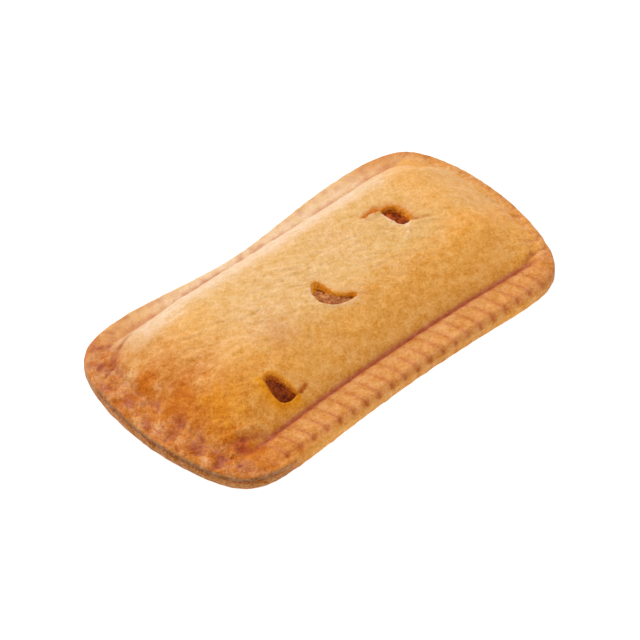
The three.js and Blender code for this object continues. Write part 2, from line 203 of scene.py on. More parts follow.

# Stains: x, y, radius, which colour, and how far it goes. The three amber ones above the closed line by the
# raised lip are partly browning and partly painted shade beyond its lifted edge.
STAINS = (
    (-54.5, -14.5, 6.0, "oily", 0.7), (-57.2, -27.0, 1.9, "scorched", 0.7), (-57.2, -27.0, 3.2, "amber", 0.9),
    (-65.7, 3.1, 1.7, "amber", 0.9), (-67.8, -27.5, 2.2, "amber", 0.8), (-64.9, -6.7, 2.6, "amber", 0.8),
    (-64.3, -22.8, 2.0, "amber", 0.7), (26.6, 11.7, 1.1, "amber", 0.6), (28.6, 11.6, 1.3, "amber", 0.9),
    (30.6, 11.2, 1.4, "amber", 0.9), (-29.0, -22.8, 1.1, "amber", 0.3), (-26.0, -7.0, 6.5, "rosy", 0.28),
    (-60.0, -4.0, 5.0, "amber", 0.15),
)

# Creases: x, y at each end, depth, half width, and how dark they are painted: partly browning, partly painted
# shade.
CREASES = (
    (-33.0, -22.9, -31.0, -23.1, 0.45, 0.45, 0.9), (-31.0, -23.1, -28.6, -22.5, 0.45, 0.40, 0.9),
    (36.6, 1.0, 38.0, 0.0, 0.30, 0.45, 0.2), (38.0, 0.0, 42.6, -2.0, 0.30, 0.45, 0.2),
    (25.9, 11.2, 28.8, 11.0, 0.30, 0.45, 0.45), (28.8, 11.0, 31.8, 10.3, 0.45, 0.50, 0.7),
    (38.0, 2.6, 43.5, 1.9, 0.20, 0.40, 0.15),
    (27.5, 3.5, 30.5, 1.0, 0.20, 0.50, 0.15), (3.2, -11.2, 6.0, -12.2, 0.16, 0.45, 0.2),
    (-52.3, 30.0, -57.1, 29.3, 0.30, 0.80, 0.6), (-57.1, 29.3, -62.1, 26.4, 0.45, 0.90, 0.8),
    (-60.0, -23.9, -55.4, -24.8, 0.35, 0.80, 0.5), (-55.4, -24.8, -48.5, -27.0, 0.50, 0.80, 0.6),
    (-62.1, 26.4, -65.0, 20.0, 0.25, 0.80, 0.5), (-64.0, 34.0, -58.6, 32.1, 0.12, 0.60, 0.5),
    (-67.7, 29.6, -63.4, 25.4, 0.20, 0.70, 0.6), (-69.0, 26.2, -65.9, 26.7, 0.15, 0.60, 0.5),
    (-56.1, 37.8, -54.0, 35.2, 0.12, 0.50, 0.5), (-50.0, 38.5, -46.7, 37.7, 0.12, 0.50, 0.4),
    (58.5, -27.6, 63.0, -26.0, 0.40, 0.80, 0.6), (63.0, -26.0, 68.0, -26.6, 0.30, 0.70, 0.5),
    (64.0, -21.6, 69.5, -22.6, 0.20, 0.50, 0.4),
)

# Where the crust's colours change, each between two places along x or y, or the other way for what lies
# on the left (-x) or the near side (-y); `from_rim` is measured in from the rim.
ZONES = {
    "far_shoulder": (16, 24), "far_rim": (34, 38), "far_pale_from": (-61, -49), "far_pale_to": (34, 58),
    "far_brown_to": (-56, -26), "far_brown_from": (32, 58), "far_end_x": (34, 56), "far_end_y": (14, 30),
    "near_slope": (2, 18), "near_foot": (20, 25), "near_grain": (6, 18), "near_margin": (34, 37),
    "near_edge": (37, 39), "left_toasted": (24, 44), "right_toasted": (34, 50), "flap_side": (-50, -34),
    "flap_far": (14, 24), "left_end": (-64, -34), "right_corner": (40, 60), "from_rim": (-4.5, -1.5),
}

# Pale patch in the middle: x, y, half length and half width. Cells that are spotted or flecked: size and
# seed. Flat base: how far it goes to the colour of the bottom sheet's side, and below which height it lies.
PALE_PATCH = (-8, 6, 34, 12)
PATCH_SIZES = {"spot": (2.0, 51), "fleck": (1.0, 61)}
SOLE_SHARE = 0.9
SOLE_TOP = 0.05

# Filling: the height of its flat underside, and how far its outline lies inside the dome's. Its knobs of
# meat are given as the crags are; it is pinker and less juicy round the middle slit, and fatter round the
# one with the raised lip.
HOLLOW_FLOOR = 3.4
FILLING_INSET = {"near": 2.2, "far": 3.0, "left": 9.0, "right": 6.5}
FILLING_CORNER_POWER = 4.0
FILLING_RIM = 0.8
SLIT_BULGE = {"rise": 1.0, "reach": 4.2}
MEAT_PUFF = 0.9
MEAT_KNOBS = ((2.1, 1.7, 0.65, 0.5, 31), (1.0, 0.8, 0.35, 0.5, 41))
PINK_MEAT = (-2, -5)
FAT_MEAT = (33, 5)
MEAT_SPREAD = 12
FILLING_COLUMNS, FILLING_ROWS = 300, 126
CORE_COLUMNS, CORE_ROWS = 90, 40

# Grid of the case.
COLUMNS, ROWS = 345, 186


def bump(distance, radius):
    """exp(-(distance / radius)^2)."""
    return np.exp(-((distance / radius) ** 2))


def smooth(value, low, high):
    """0 below low, 1 above high, and 3t^2 - 2t^3 between."""
    t = np.clip((value - low) / (high - low), 0, 1)
    return t * t * (3 - 2 * t)


def waves(seed, shortest, longest, heading=None, spread=math.pi, count=48):
    """A random even field f(x, y) of mean 0 and spread 1: a sum of cosines with wavelengths in mm.

    With a heading, the crests lie within `spread` of that direction, in radians.
    """
    rng = np.random.default_rng(seed)
    turn = (heading or 0) + math.pi / 2 + rng.uniform(-spread, spread, count)
    length = shortest * (longest / shortest) ** rng.uniform(0, 1, count)
    phase = rng.uniform(0, 2 * np.pi, count)
    kx, ky = 2 * np.pi * np.cos(turn) / length, 2 * np.pi * np.sin(turn) / length

    def field(x, y):
        total = np.zeros(np.shape(x))
        for a, b, c in zip(kx, ky, phase):
            total += np.cos(a * x + b * y + c)
        return total * math.sqrt(2 / count)

    return field


def scatter(column, row, seed):
    """A number from 0 to 1 for each whole column and row: the fraction of a large sine."""
    value = np.sin(column * 127.1 + row * 311.7 + seed * 74.7) * 43758.5453
    return value - np.floor(value)


def cells(x, y, size, seed):
    """One random point in each square of side `size`: distance to the nearest, and its random number."""
    column, row = np.floor(x / size), np.floor(y / size)
    nearest = np.full(np.shape(x), np.inf)
    number = np.zeros(np.shape(x))
    for i in (-1, 0, 1):
        for j in (-1, 0, 1):
            px = (column + i + scatter(column + i, row + j, seed)) * size
            py = (row + j + scatter(column + i, row + j, seed + 1)) * size
            away = np.hypot(x - px, y - py)
            number = np.where(away < nearest, scatter(column + i, row + j, seed + 2), number)
            nearest = np.minimum(nearest, away)
    return nearest, number


def knobs(x, y, kinds):
    """Round knobs of uneven height that meet in creases: 1 - (distance / radius)^2, summed over the kinds."""
    total = 0
    for size, radius, share, lowest, seed in kinds:
        away, number = cells(x, y, size, seed)
        total = total + share * np.clip(1 - (away / radius) ** 2, 0, 1) * (lowest + (1 - lowest) * number)
    return total


def warped(x, y, field, reach):
    """Each place moved along x and y by the field times the reach."""
    return x + reach * field(x, y), y + reach * field(y, x)


def segment_distance(x, y, x0, y0, x1, y1):
    """Distance from a point to the line between two points."""
    dx, dy = x1 - x0, y1 - y0
    t = np.clip(((x - x0) * dx + (y - y0) * dy) / (dx * dx + dy * dy), 0, 1)
    return np.hypot(x - x0 - t * dx, y - y0 - t * dy)


def line_side(x, y, x0, y0, x1, y1):
    """Signed distance from the line through two points: above 0 on its left side, going from the first."""
    dx, dy = x1 - x0, y1 - y0
    return (dx * (y - y0) - dy * (x - x0)) / math.hypot(dx, dy)


def waist_depth(x, waist):
    """How far a long side is drawn in at x: a bell curve."""
    return waist["depth"] * bump(x - waist["x"], waist["spread"])


def end_setback(y, end):
    """How far an end lies inside its furthest point at y: a parabola."""
    return end["bow"] * ((y - end["y"]) / HALF_WIDTH) ** 2


def round_corners(u, v, power):
    """A point of the square moved in along its ray by max(|u|, |v|) / (|u|^p + |v|^p)^(1/p)."""
    a, b = np.abs(u), np.abs(v)
    norm = np.maximum(a**power + b**power, 1e-30) ** (1 / power)
    keep = np.maximum(a, b) / norm
    return u * keep, v * keep


def rim_plan(u, v):
    """Plan of the square -1..1 by -1..1: round corners, drawn-in long sides, bowed ends."""
    near = np.where(u < 0, CORNER_POWERS["near_left"], CORNER_POWERS["near_right"])
    far = np.where(u < 0, CORNER_POWERS["far_left"], CORNER_POWERS["far_right"])
    along, across = round_corners(u, v, np.where(v < 0, near, far))
    x = along * HALF_LENGTH
    y = across * (HALF_WIDTH - np.where(v < 0, waist_depth(x, NEAR_WAIST), waist_depth(x, FAR_WAIST)))
    setback = np.where(u < 0, end_setback(y, LEFT_END), end_setback(y, RIGHT_END))
    return along * (HALF_LENGTH - setback) + SKEW * y - PLAN_MIDDLE[0], y - PLAN_MIDDLE[1]


def end_x(y, side, end):
    """x of a bowed end of the outline at y: -1 for the left side, 1 for the right."""
    return side * (HALF_LENGTH - end_setback(y + PLAN_MIDDLE[1], end)) + SKEW * y - PLAN_MIDDLE[0]


def end_distance(x, y, side, end):
    """Distance along x in from a bowed end of the outline."""
    return side * (end_x(y, side, end) - x)


def outward_way(u, v):
    """Unit direction out of the square's nearest side, turning round its corners."""
    a, b = np.sign(u) * np.abs(u) ** 9, np.sign(v) * np.abs(v) ** 9
    length = np.maximum(np.hypot(a, b), 1e-12)
    return a / length, b / length


def seam_open(x, y):
    """How far the two sheets stand apart at the rim: 1 round the left end's near part, 0 along the sides."""
    left = 1 - smooth(x, OPEN_SEAM["left_x"] - OPEN_SEAM["fade"], OPEN_SEAM["left_x"])
    return left * (1 - smooth(y, OPEN_SEAM["far_y"] - OPEN_SEAM["fade"], OPEN_SEAM["far_y"]))


def near_rim(x, y):
    """1 along the near long side, where the rim is rolled lower and rounder, 0 elsewhere."""
    along = smooth(x, NEAR_RIM["left_x"], NEAR_RIM["left_x"] + NEAR_RIM["fade"])
    along = along * (1 - smooth(x, NEAR_RIM["right_x"] - NEAR_RIM["fade"], NEAR_RIM["right_x"]))
    return along * smooth(-y, -NEAR_RIM["y"], -NEAR_RIM["y"] + NEAR_RIM["fade"])


def usual_or_near(sizes, x, y):
    """A size of the rim that goes from its usual value to the near side's."""
    return sizes["usual"] + (sizes["near"] - sizes["usual"]) * near_rim(x, y)


def near_groove(x):
    """Line of the near groove: y at x, a parabola."""
    return NEAR_GROOVE["y"] - NEAR_GROOVE["bow"] * ((x - NEAR_GROOVE["x"]) / NEAR_GROOVE["span"]) ** 2


def dome_end(y, end):
    """Foot of the dome at an end: x at y, a parabola."""
    return end["x"] + end["bow"] * ((y - end["y"]) / end["span"]) ** 2


def shoulder(distance, side):
    """(1 - (1 - d/w)^2)^power: 0 at the dome's foot, 1 past the shoulder."""
    return (1 - np.clip(1 - distance / SHOULDER[side], 0, 1) ** 2) ** SHOULDER_POWER[side]


def corner_share(a, b, radius):
    """Share of its distances from two sides that a place keeps, so that an arc of the radius joins them."""
    inside = radius - np.hypot(np.clip(radius - a, 0, None), np.clip(radius - b, 0, None))
    return np.clip(inside / np.clip(np.minimum(a, b), 0.01, radius), 0, 1)


def crimp_fade(x):
    """1 along the crimped part of a long side, 0 at the ends."""
    return 1 / (1 + np.exp((np.abs(x - CRIMP_MIDDLE_X) - CRIMP_HALF_LENGTH) / CRIMP_FADE))


def band_share(t, width):
    """1 inside a crimped band, faded at both of its edges, at the distance t in from its dimples."""
    return np.clip(t / BAND_FADE["outer"], 0, 1) * np.clip((width - t) / BAND_FADE["inner"], 0, 1)


def make_blisters(zone, side, end):
    """Blisters of one end, (x, y, radius, height), by steps of irrational size."""
    i = np.arange(zone["count"])
    y = ((0.618034 * i + 0.3) % 1 - 0.5) * BLISTER_SPAN_Y
    x = end_x(y, side, end) - side * (zone["nearest"] + zone["reach"] * (0.754878 * i % 1))
    radius = BLISTER_RADIUS + BLISTER_RADIUS_RANGE * (0.56984 * i % 1)
    height = zone["lowest"] + BLISTER_HEIGHT_RANGE * (0.381966 * i % 1)
    return list(zip(x, y, radius, height))


BLISTERS = make_blisters(LEFT_BLISTERS, -1, LEFT_END) + make_blisters(RIGHT_BLISTERS, 1, RIGHT_END)


class CrustShape:
    """Heights of the top sheet in mm at places in plan, from the sizes in the panel."""

    def __init__(self, sizes):
        self.dome_rise = sizes.dome_rise / MM
        self.crown = sizes.crown / MM
        self.ridge_height = sizes.ridge_height / MM
        self.ridge_pitch = sizes.ridge_pitch / MM
        self.dimple_depth = sizes.dimple_depth / MM
        self.groove_depth = sizes.groove_depth / MM
        self.crust = sizes.crust / MM
        self.crag_height = sizes.crag_height / MM
        for name, sizes_of_waves in FIELDS.items():
            setattr(self, name, waves(*sizes_of_waves))
        self.wrinkle = waves(heading=WRINKLE_HEADING, **WRINKLES)

    def dome(self, x, y):
        """Product of the four shoulders, with rounded corners, times the rise and a low crown."""
        from_side = {
            "near": y - near_groove(x), "far": FAR_GROOVE_Y - y,
            "left": x - dome_end(y, DOME_LEFT), "right": dome_end(y, DOME_RIGHT) - x,
        }
        keep = 1.0
        for corner, radius in DOME_CORNERS.items():
            side, end = corner.split("_")
            keep = np.minimum(keep, corner_share(from_side[end], from_side[side], radius))
        inside = 1.0
        for side, distance in from_side.items():
            inside = inside * shoulder(distance * keep, side)
        crown = (
            self.crown
            * np.clip(1 - (y / CROWN["half_width"]) ** 2, 0, 1)
            * np.clip(1 - (x / CROWN["half_length"]) ** 2, 0, 1)
        )
        return (self.dome_rise + crown) * inside

    def ridge_wave(self, x, t):
        """|sin(pi phase)|: 0 in the valleys, which lean and curl inward, 1 on the ridges."""
        t = np.clip(t, 0, None)
        phase = (x + RIDGE_LEAN * t + RIDGE_CURL * t * t - FIRST_VALLEY_X) / self.ridge_pitch
        return np.abs(np.sin(np.pi * phase))

    def valley_offset(self, x):
        """Distance along x from the foot of the nearest valley, above 0 on its right."""
        return ((x - FIRST_VALLEY_X) / self.ridge_pitch + 0.5) % 1 * self.ridge_pitch - self.ridge_pitch / 2

    def dimple(self, x, t):
        """A slanting bell at the foot of each valley, 1 at its middle."""
        away = self.valley_offset(x)
        c, s = DIMPLE_SLANT
        return bump(c * away + s * t, DIMPLE["long"]) * bump(c * t - s * away, DIMPLE["wide"])

    def dimple_distance(self, x, y):
        """Distance in mm from the nearest near dimple, large away from the crimped part."""
        return np.hypot(self.valley_offset(x), y - NEAR_DIMPLES_Y) / np.maximum(crimp_fade(x), 0.01)

    def crimps(self, x, y):
        """Ridges, valleys, dimples and grooves of the near and the far band, each from 0 to 1."""
        near = near_groove(x)
        near_in, far_in = y - NEAR_DIMPLES_Y, FAR_DIMPLES_Y - y
        near_wave, far_wave = self.ridge_wave(x, near_in), self.ridge_wave(-x, far_in)
        near_foot = 1 - VALLEY_FILL["share"] * smooth(near_in, VALLEY_FILL["from"], VALLEY_FILL["to"])
        fade = crimp_fade(x)
        near_band = band_share(near_in, near - NEAR_DIMPLES_Y) * fade
        far_band = FAR_BAND_SHARE * band_share(far_in, FAR_DIMPLES_Y - FAR_GROOVE_Y) * fade
        return {
            "near_ridge": (1 - (1 - near_wave**RIDGE_POWER) * near_foot) * near_band,
            "far_ridge": far_wave**RIDGE_POWER * far_band,
            "near_valley": (1 - near_wave) ** 3 * (0.35 + 0.65 * near_foot) * near_band,
            "far_valley": (1 - far_wave) ** 2 * far_band,
            "near_dimple": self.dimple(x, near_in) * fade,
            "near_groove": bump(y - near + GROOVE["offset"], GROOVE["half_width"]) * fade,
            "far_groove": bump(y - FAR_GROOVE_Y - GROOVE["offset"], GROOVE["half_width"]) * fade,
        }

    def crag_zone(self, x, y):
        """Where the skin is cragged: 1 on the left end and its corners, weaker on the right end."""
        ragged = CRAG_ZONE["ragged"] * self.warp(x, y)
        left = 1 - smooth(end_distance(x, y, -1, LEFT_END) + ragged, *CRAG_ZONE["left"])
        right = 1 - smooth(end_distance(x, y, 1, RIGHT_END) + ragged, *CRAG_ZONE["right"])
        return np.maximum(left, CRAG_ZONE["right_share"] * right)

    def crags(self, x, y):
        """Knobs 1 to 3 mm wide, from 0 to 1."""
        return knobs(*warped(x, y, self.puff, KNOB_WARP), CRAGS)

    def patches(self, x, y, size, seed):
        """A random number from 0 to 1 for each patch: the warped cell that a place lies in."""
        return cells(*warped(x, y, self.pebble, PATCH_WARP * size), size, seed)[1]

    def frayed(self, x, y, amount):
        """Factor on a distance that frays a round outline."""
        return np.clip(1 + amount * self.puff(x, y), 0.6, 1.6)

    def blisters(self, x, y):
        """The highest of the bells of all blisters."""
        height = np.zeros(np.shape(x))
        for bx, by, radius, rise in BLISTERS:
            height = np.maximum(height, rise * bump(np.hypot(x - bx, y - by), radius))
        return height

    def pits(self, x, y):
        """Depth of the pressed-in places, as bells with frayed outlines."""
        depth = np.zeros(np.shape(x))
        frayed = self.frayed(x, y, PIT_FRAY)
        for px, py, radius, deep in PITS:
            depth = np.maximum(depth, deep * bump(np.hypot(x - px, y - py) * frayed, radius))
        return depth

    def wrinkle_zone(self, x, y):
        """Where small slanting wrinkles show: round two of the slits, and on the left of the dome."""
        zones = (bump(np.hypot(x - zx, (y - zy) * narrow), reach) for zx, zy, reach, narrow in WRINKLE_ZONES)
        return np.clip(sum(zones), 0, 1)

    def relief(self, x, y):
        """Everything uneven that lies on the dome and the rim."""
        on_dome = smooth(self.dome(x, y), 1.5, 8)
        wrinkled = WRINKLE_SHARE + (1 - WRINKLE_SHARE) * self.wrinkle_zone(x, y)
        height = FIELD_HEIGHT["swell"] * self.swell(x, y) * on_dome
        height += FIELD_HEIGHT["puff"] * self.puff(x, y) + FIELD_HEIGHT["pebble"] * self.pebble(x, y)
        height += FIELD_HEIGHT["wrinkle"] * self.wrinkle(x, y) * wrinkled * on_dome
        height += self.crag_height * (self.crags(x, y) - CRAG_LEVEL) * self.crag_zone(x, y)
        height += self.blisters(x, y) - self.pits(x, y)
        for *ends, rise, half_width, _ in RAISED:
            height += rise * bump(segment_distance(x, y, *ends), half_width)
        for *ends, rise, reach in LIFTED:
            side = line_side(x, y, *ends)
            height += rise * smooth(-side, -0.15, 0.15) * bump(segment_distance(x, y, *ends), reach)
        for *ends, depth, half_width, _ in CREASES:
            height -= depth * bump(segment_distance(x, y, *ends), half_width)
        return height

    def top(self, x, y):
        """Height of the top sheet."""
        parts = self.crimps(x, y)
        ridges = self.ridge_height * (1 + RIDGE_UNEVENNESS * self.uneven(x, y))
        ridges = ridges * (parts["near_ridge"] + parts["far_ridge"])
        dimples = self.dimple_depth * parts["near_dimple"]
        grooves = self.groove_depth * (parts["near_groove"] + FAR_GROOVE_SHARE * parts["far_groove"])
        return BAND_TOP + self.dome(x, y) + ridges - dimples - grooves + self.relief(x, y)

    def rounded_top(self, x, y, edge):
        """The top sheet, rounded down to its lip by a quarter circle over the outermost part."""
        rise = np.sqrt(1 - (1 - np.clip(edge / usual_or_near(RIM_ROUNDING, x, y), 0, 1)) ** 2)
        lip = usual_or_near(LIP_HEIGHT, x, y)
        return lip + (self.top(x, y) - lip) * rise


def slit_loop(slit, turn, narrowed=0.0):
    """Lip of a slit at the angles `turn`: t = cos(turn) along it, |sin|^(2 power) (a + b t + c t^2) across.

    Where it is narrowed, each point goes that share of the way to the middle line between the two lips.
    """
    start, end = np.array(slit["from"]), np.array(slit["to"])
    along = (end - start) / 2
    across = np.array((-along[1], along[0])) / np.hypot(*along)
    t = np.cos(turn)
    left = sum(c * t**k for k, c in enumerate(slit["left"]))
    right = sum(c * t**k for k, c in enumerate(slit["right"]))
    side = np.where(np.sin(turn) > 0, left, right)
    bow = np.abs(np.sin(turn)) ** (2 * LIP_POWER) * (side + narrowed * ((left + right) / 2 - side))
    return (start + end) / 2 + (t * (1 - 0.5 * narrowed))[:, None] * along + bow[:, None] * across


class Surface:
    """Collects vertices in mm, faces, and the channels: what is known of each vertex.

    They are its distance from the rim, its depth below a slit's lip and its distance from it, how oily and
    how darkly baked it is there, and how much it belongs to the slit's far lip.
    """

    CHANNELS = {"edge": 40.0, "depth": 0.0, "lip": 40.0, "oil": 0.0, "baked": 0.0, "upper": 0.0}

    def __init__(self):
        self.points, self.faces, self.count = [], [], 0
        self.values = {name: [] for name in self.CHANNELS}

    def add(self, xyz, **channels):
        """Adds vertices and gives back their numbers."""
        first = self.count
        self.points.append(np.asarray(xyz, float))
        self.count += len(xyz)
        for name, usual in self.CHANNELS.items():
            self.values[name].append(np.broadcast_to(channels.get(name, usual), len(xyz)))
        return np.arange(first, self.count)

    def face(self, faces):
        """Adds faces, counter-clockwise seen from outside."""
        self.faces.extend(np.asarray(faces).tolist())

    def ring(self, upper, lower):
        """Quads down from a loop that runs counter-clockwise, seen from above, to the next."""
        self.face(np.stack([upper, lower, np.roll(lower, -1), np.roll(upper, -1)], -1))

    def mesh(self, name):
        """A mesh of the faces and of the vertices that they use, with the channels as attributes."""
        used = np.zeros(self.count, bool)
        used[np.concatenate(self.faces)] = True
        number = np.cumsum(used) - 1
        xyz = np.vstack(self.points)[used] * MM
        data = bpy.data.meshes.new(name)
        data.from_pydata(xyz.tolist(), [], [number[face].tolist() for face in self.faces])
        data.update()
        for channel, values in self.values.items():
            put_attribute(data, channel, np.concatenate(values)[used])
        return data


def put_attribute(data, name, values):
    """Stores one number for each vertex."""
    attribute = data.attributes.get(name) or data.attributes.new(name, "FLOAT", "POINT")
    attribute.data.foreach_set("value", np.asarray(values, np.float32))


def take_channels(data):
    """Reads the channels, by name, and takes them off the mesh."""
    channels = {}
    for name in Surface.CHANNELS:
        values = np.empty(len(data.vertices), np.float32)
        data.attributes[name].data.foreach_get("value", values)
        channels[name] = values.astype(float)
        data.attributes.remove(data.attributes[name])
    return channels


def vertex_places(data):
    """x, y and z of each vertex in mm."""
    xyz = np.empty(len(data.vertices) * 3, np.float32)
    data.vertices.foreach_get("co", xyz)
    return xyz.reshape(-1, 3).T.astype(float) / MM


def loop_normals(xy):
    """Unit outward normals in plan of a counter-clockwise loop."""
    step = np.roll(xy, -1, 0) - np.roll(xy, 1, 0)
    return np.stack([step[:, 1], -step[:, 0]], -1) / np.hypot(*step.T)[:, None]


def add_slit(surface, shape, slit, outline, outline_xy):
    """Ring patch from the outline of a block in to the lip, the lip's roll, a torn wall and a blind end."""
    middle = (np.array(slit["from"]) + np.array(slit["to"])) / 2
    aim = np.array(slit["to"]) - middle
    around = outline_xy - middle
    angles = np.arctan2(around[:, 1], around[:, 0]) - math.atan2(aim[1], aim[0])
    first = np.argmin(np.abs((angles + np.pi) % (2 * np.pi) - np.pi))
    outline, outline_xy = np.roll(outline, -first), np.roll(outline_xy, -first, 0)
    turn = 2 * np.pi * np.arange(len(outline)) / len(outline)
    lip = slit_loop(slit, turn)
    reach = outline_xy - lip
    oily = slit["oil"] * smooth(-np.sin(turn), -0.2, 0.3)
    browned = slit["browned"] * smooth(np.sin(turn), -0.1, 0.4)
    far_lip = smooth(np.sin(turn), -0.3, 0.3)
    upper = outline
    for k in range(SLIT_RINGS - 1, -1, -1):
        share = (k / SLIT_RINGS) ** RING_SPACING
        xy = lip + reach * share
        away = np.hypot(*reach.T) * share
        roll = np.clip(away / LIP_RADIUS, 0, 1)
        z = shape.top(xy[:, 0], xy[:, 1]) - LIP_RADIUS * (1 - np.sqrt(1 - (1 - roll) ** 2))
        lower = surface.add(np.c_[xy, z], lip=away, oil=oily, baked=browned, upper=far_lip)
        surface.face(np.stack([upper, np.roll(upper, -1), np.roll(lower, -1), lower], -1))
        upper = lower
    for depth, narrowed in WALL_STEPS:
        torn = shape.pebble(*lip.T + 5 * depth) + 0.8 * shape.pebble(*(2.5 * lip.T + 9 * depth))
        xy = slit_loop(slit, turn, narrowed + WALL_ROUGHNESS * torn * smooth(depth, 0, 0.6))
        baked = slit["baked"]
        lower = surface.add(np.c_[xy, z - depth], lip=0, depth=depth, oil=oily, baked=baked, upper=far_lip)
        surface.face(np.stack([upper, np.roll(upper, -1), np.roll(lower, -1), lower], -1))
        upper = lower
    n = len(upper)
    k = np.arange(1, n // 2 - 1)
    surface.face([(upper[0], upper[1], upper[n - 1])])
    surface.face(np.stack([upper[k], upper[k + 1], upper[n - k - 1], upper[n - k]], -1))
    surface.face([(upper[n // 2 - 1], upper[n // 2], upper[n // 2 + 1])])


def block_outline(slit, x, y):
    """Grid cells that a slit's patch takes, and the loop of grid points round them."""
    x0, y0, x1, y1 = slit["block"]
    row = np.argmin(np.abs(y[COLUMNS // 2] - (y0 + y1) / 2))
    i0, i1 = (int(np.argmin(np.abs(x[:, row] - value))) for value in (x0, x1))
    column = (i0 + i1) // 2
    j0, j1 = (int(np.argmin(np.abs(y[column] - value))) for value in (y0, y1))
    i, j = np.arange(i0, i1), np.arange(j0, j1)
    columns = np.concatenate([i, np.full(len(j), i1), i[::-1] + 1, np.full(len(j), i0)])
    rows = np.concatenate([np.full(len(i), j0), j, np.full(len(i), j1), j[::-1] + 1])
    return (slice(i0, i1), slice(j0, j1)), columns, rows


def boundary(number):
    """Numbers round the edge of a grid, counter-clockwise."""
    return np.concatenate([number[:-1, 0], number[-1, :-1], number[:0:-1, -1], number[0, :0:-1]])


def add_rim(surface, shape, upper, rim):
    """Rings down the side of the rim, over the seam between the sheets, and in over the flat base."""
    outward = loop_normals(rim)
    opened = seam_open(*rim.T)
    ragged = SIDE_ROUGHNESS["ragged"] * shape.warp(*(1.3 * rim).T)
    lowered = usual_or_near(LIP_HEIGHT, *rim.T) / LIP_HEIGHT["usual"]
    for height, shut, apart in RIM_SIDE:
        inset = shut + (apart - shut) * opened
        loose = SIDE_ROUGHNESS["loose"] * shape.pebble(rim[:, 0] + 3 * height, rim[:, 1])
        loose = loose * smooth(height, 0.1, 1.2)
        level = height + ragged * smooth(height, 1.2, 3.0) * smooth(-height, -4.2, -3.7)
        xy = rim - outward * (inset + loose)[:, None]
        lower = surface.add(np.c_[xy, level * lowered], edge=-inset)
        surface.ring(upper, lower)
        upper = lower
    base = rim - outward * RIM_SIDE[-1][1]
    for share in BASE_RINGS:
        lower = surface.add(np.c_[base * share, np.zeros(len(base))], edge=-2)
        surface.ring(upper, lower)
        upper = lower
    centre = surface.add([(0, 0, 0)], edge=-2)[0]
    surface.face(np.stack([np.full(len(upper), centre), np.roll(upper, -1), upper], -1))


def case_surface(shape):
    """The case: a grid over the plan, with a ring patch in the place of each slit, and its rim and base."""
    surface = Surface()
    u, v = np.meshgrid(np.linspace(-1, 1, COLUMNS + 1), np.linspace(-1, 1, ROWS + 1), indexing="ij")
    rim_x, rim_y = rim_plan(u, v)
    edge = np.minimum((1 - np.abs(u)) * HALF_LENGTH, (1 - np.abs(v)) * HALF_WIDTH)
    way_x, way_y = outward_way(u, v)
    wobble = OUTLINE_WOBBLE * shape.warp(rim_x * 1.5, rim_y * 1.5) * bump(edge, RIM_WIDTH)
    rim_x, rim_y = rim_x + way_x * wobble, rim_y + way_y * wobble
    setback = LIP_SETBACK * seam_open(rim_x, rim_y) * np.exp(-edge / RIM_WIDTH)
    x, y = rim_x - way_x * setback, rim_y - way_y * setback
    xyz = np.stack([x, y, shape.rounded_top(x, y, edge)], -1)
    number = surface.add(xyz.reshape(-1, 3), edge=edge.ravel()).reshape(COLUMNS + 1, ROWS + 1)
    keep = np.ones((COLUMNS, ROWS), bool)
    for slit in SLITS.values():
        cells_taken, columns, rows = block_outline(slit, x, y)
        keep[cells_taken] = False
        add_slit(surface, shape, slit, number[columns, rows], xyz[columns, rows, :2])
    quads = np.stack([number[:-1, :-1], number[1:, :-1], number[1:, 1:], number[:-1, 1:]], -1)
    surface.face(quads[keep])
    upper = boundary(number)
    add_rim(surface, shape, upper, np.stack([rim_x, rim_y], -1).reshape(-1, 2)[upper])
    return surface


def filling_plan(u, v, margin):
    """The dome's outline drawn in by the insets and a margin, with round corners."""
    along, across = round_corners(u, v, FILLING_CORNER_POWER)
    left = DOME_LEFT["x"] + FILLING_INSET["left"] + margin
    right = DOME_RIGHT["x"] - FILLING_INSET["right"] - margin
    x = left + (right - left) * (along + 1) / 2
    near = near_groove(x) + FILLING_INSET["near"] + margin
    far = FAR_GROOVE_Y - FILLING_INSET["far"] - margin
    return x, near + (far - near) * (across + 1) / 2


def slit_nearness(x, y):
    """How full each slit is along its middle line, 0 away from it."""
    near = np.zeros(np.shape(x))
    for slit in SLITS.values():
        start, end = np.array(slit["from"]), np.array(slit["to"])
        along = (end - start) / np.hypot(*(end - start))
        shift = (slit["left"][0] + slit["right"][0]) / 2 * np.array((-along[1], along[0]))
        away = segment_distance(x, y, *(start + shift), *(end + shift))
        near = np.maximum(near, slit["full"] * bump(away, SLIT_BULGE["reach"]))
    return near


def filling_surface(shape, columns, rows, margin, relief, bulge):
    """The space under the crust, lowered by the margin: a grid, one ring down its side and a flat base.

    Along the slits it rises by the bulge.
    """
    surface = Surface()
    u, v = np.meshgrid(np.linspace(-1, 1, columns + 1), np.linspace(-1, 1, rows + 1), indexing="ij")
    x, y = filling_plan(u, v, margin)
    z = BAND_TOP + shape.dome(x, y) - shape.crust + bulge * slit_nearness(x, y) - margin - relief(x, y)
    z = np.maximum(z, HOLLOW_FLOOR + FILLING_RIM)
    number = surface.add(np.stack([x, y, z], -1).reshape(-1, 3)).reshape(columns + 1, rows + 1)
    quads = np.stack([number[:-1, :-1], number[1:, :-1], number[1:, 1:], number[:-1, 1:]], -1)
    surface.face(quads.reshape(-1, 4))
    edge = boundary(number)
    rim = np.stack([x, y], -1).reshape(-1, 2)[edge]
    lower = surface.add(np.c_[rim, np.full(len(rim), HOLLOW_FLOOR + margin)])
    surface.ring(edge, lower)
    centre = surface.add([(*rim.mean(0), HOLLOW_FLOOR + margin)])[0]
    surface.face(np.stack([np.full(len(lower), centre), np.roll(lower, -1), lower], -1))
    return surface


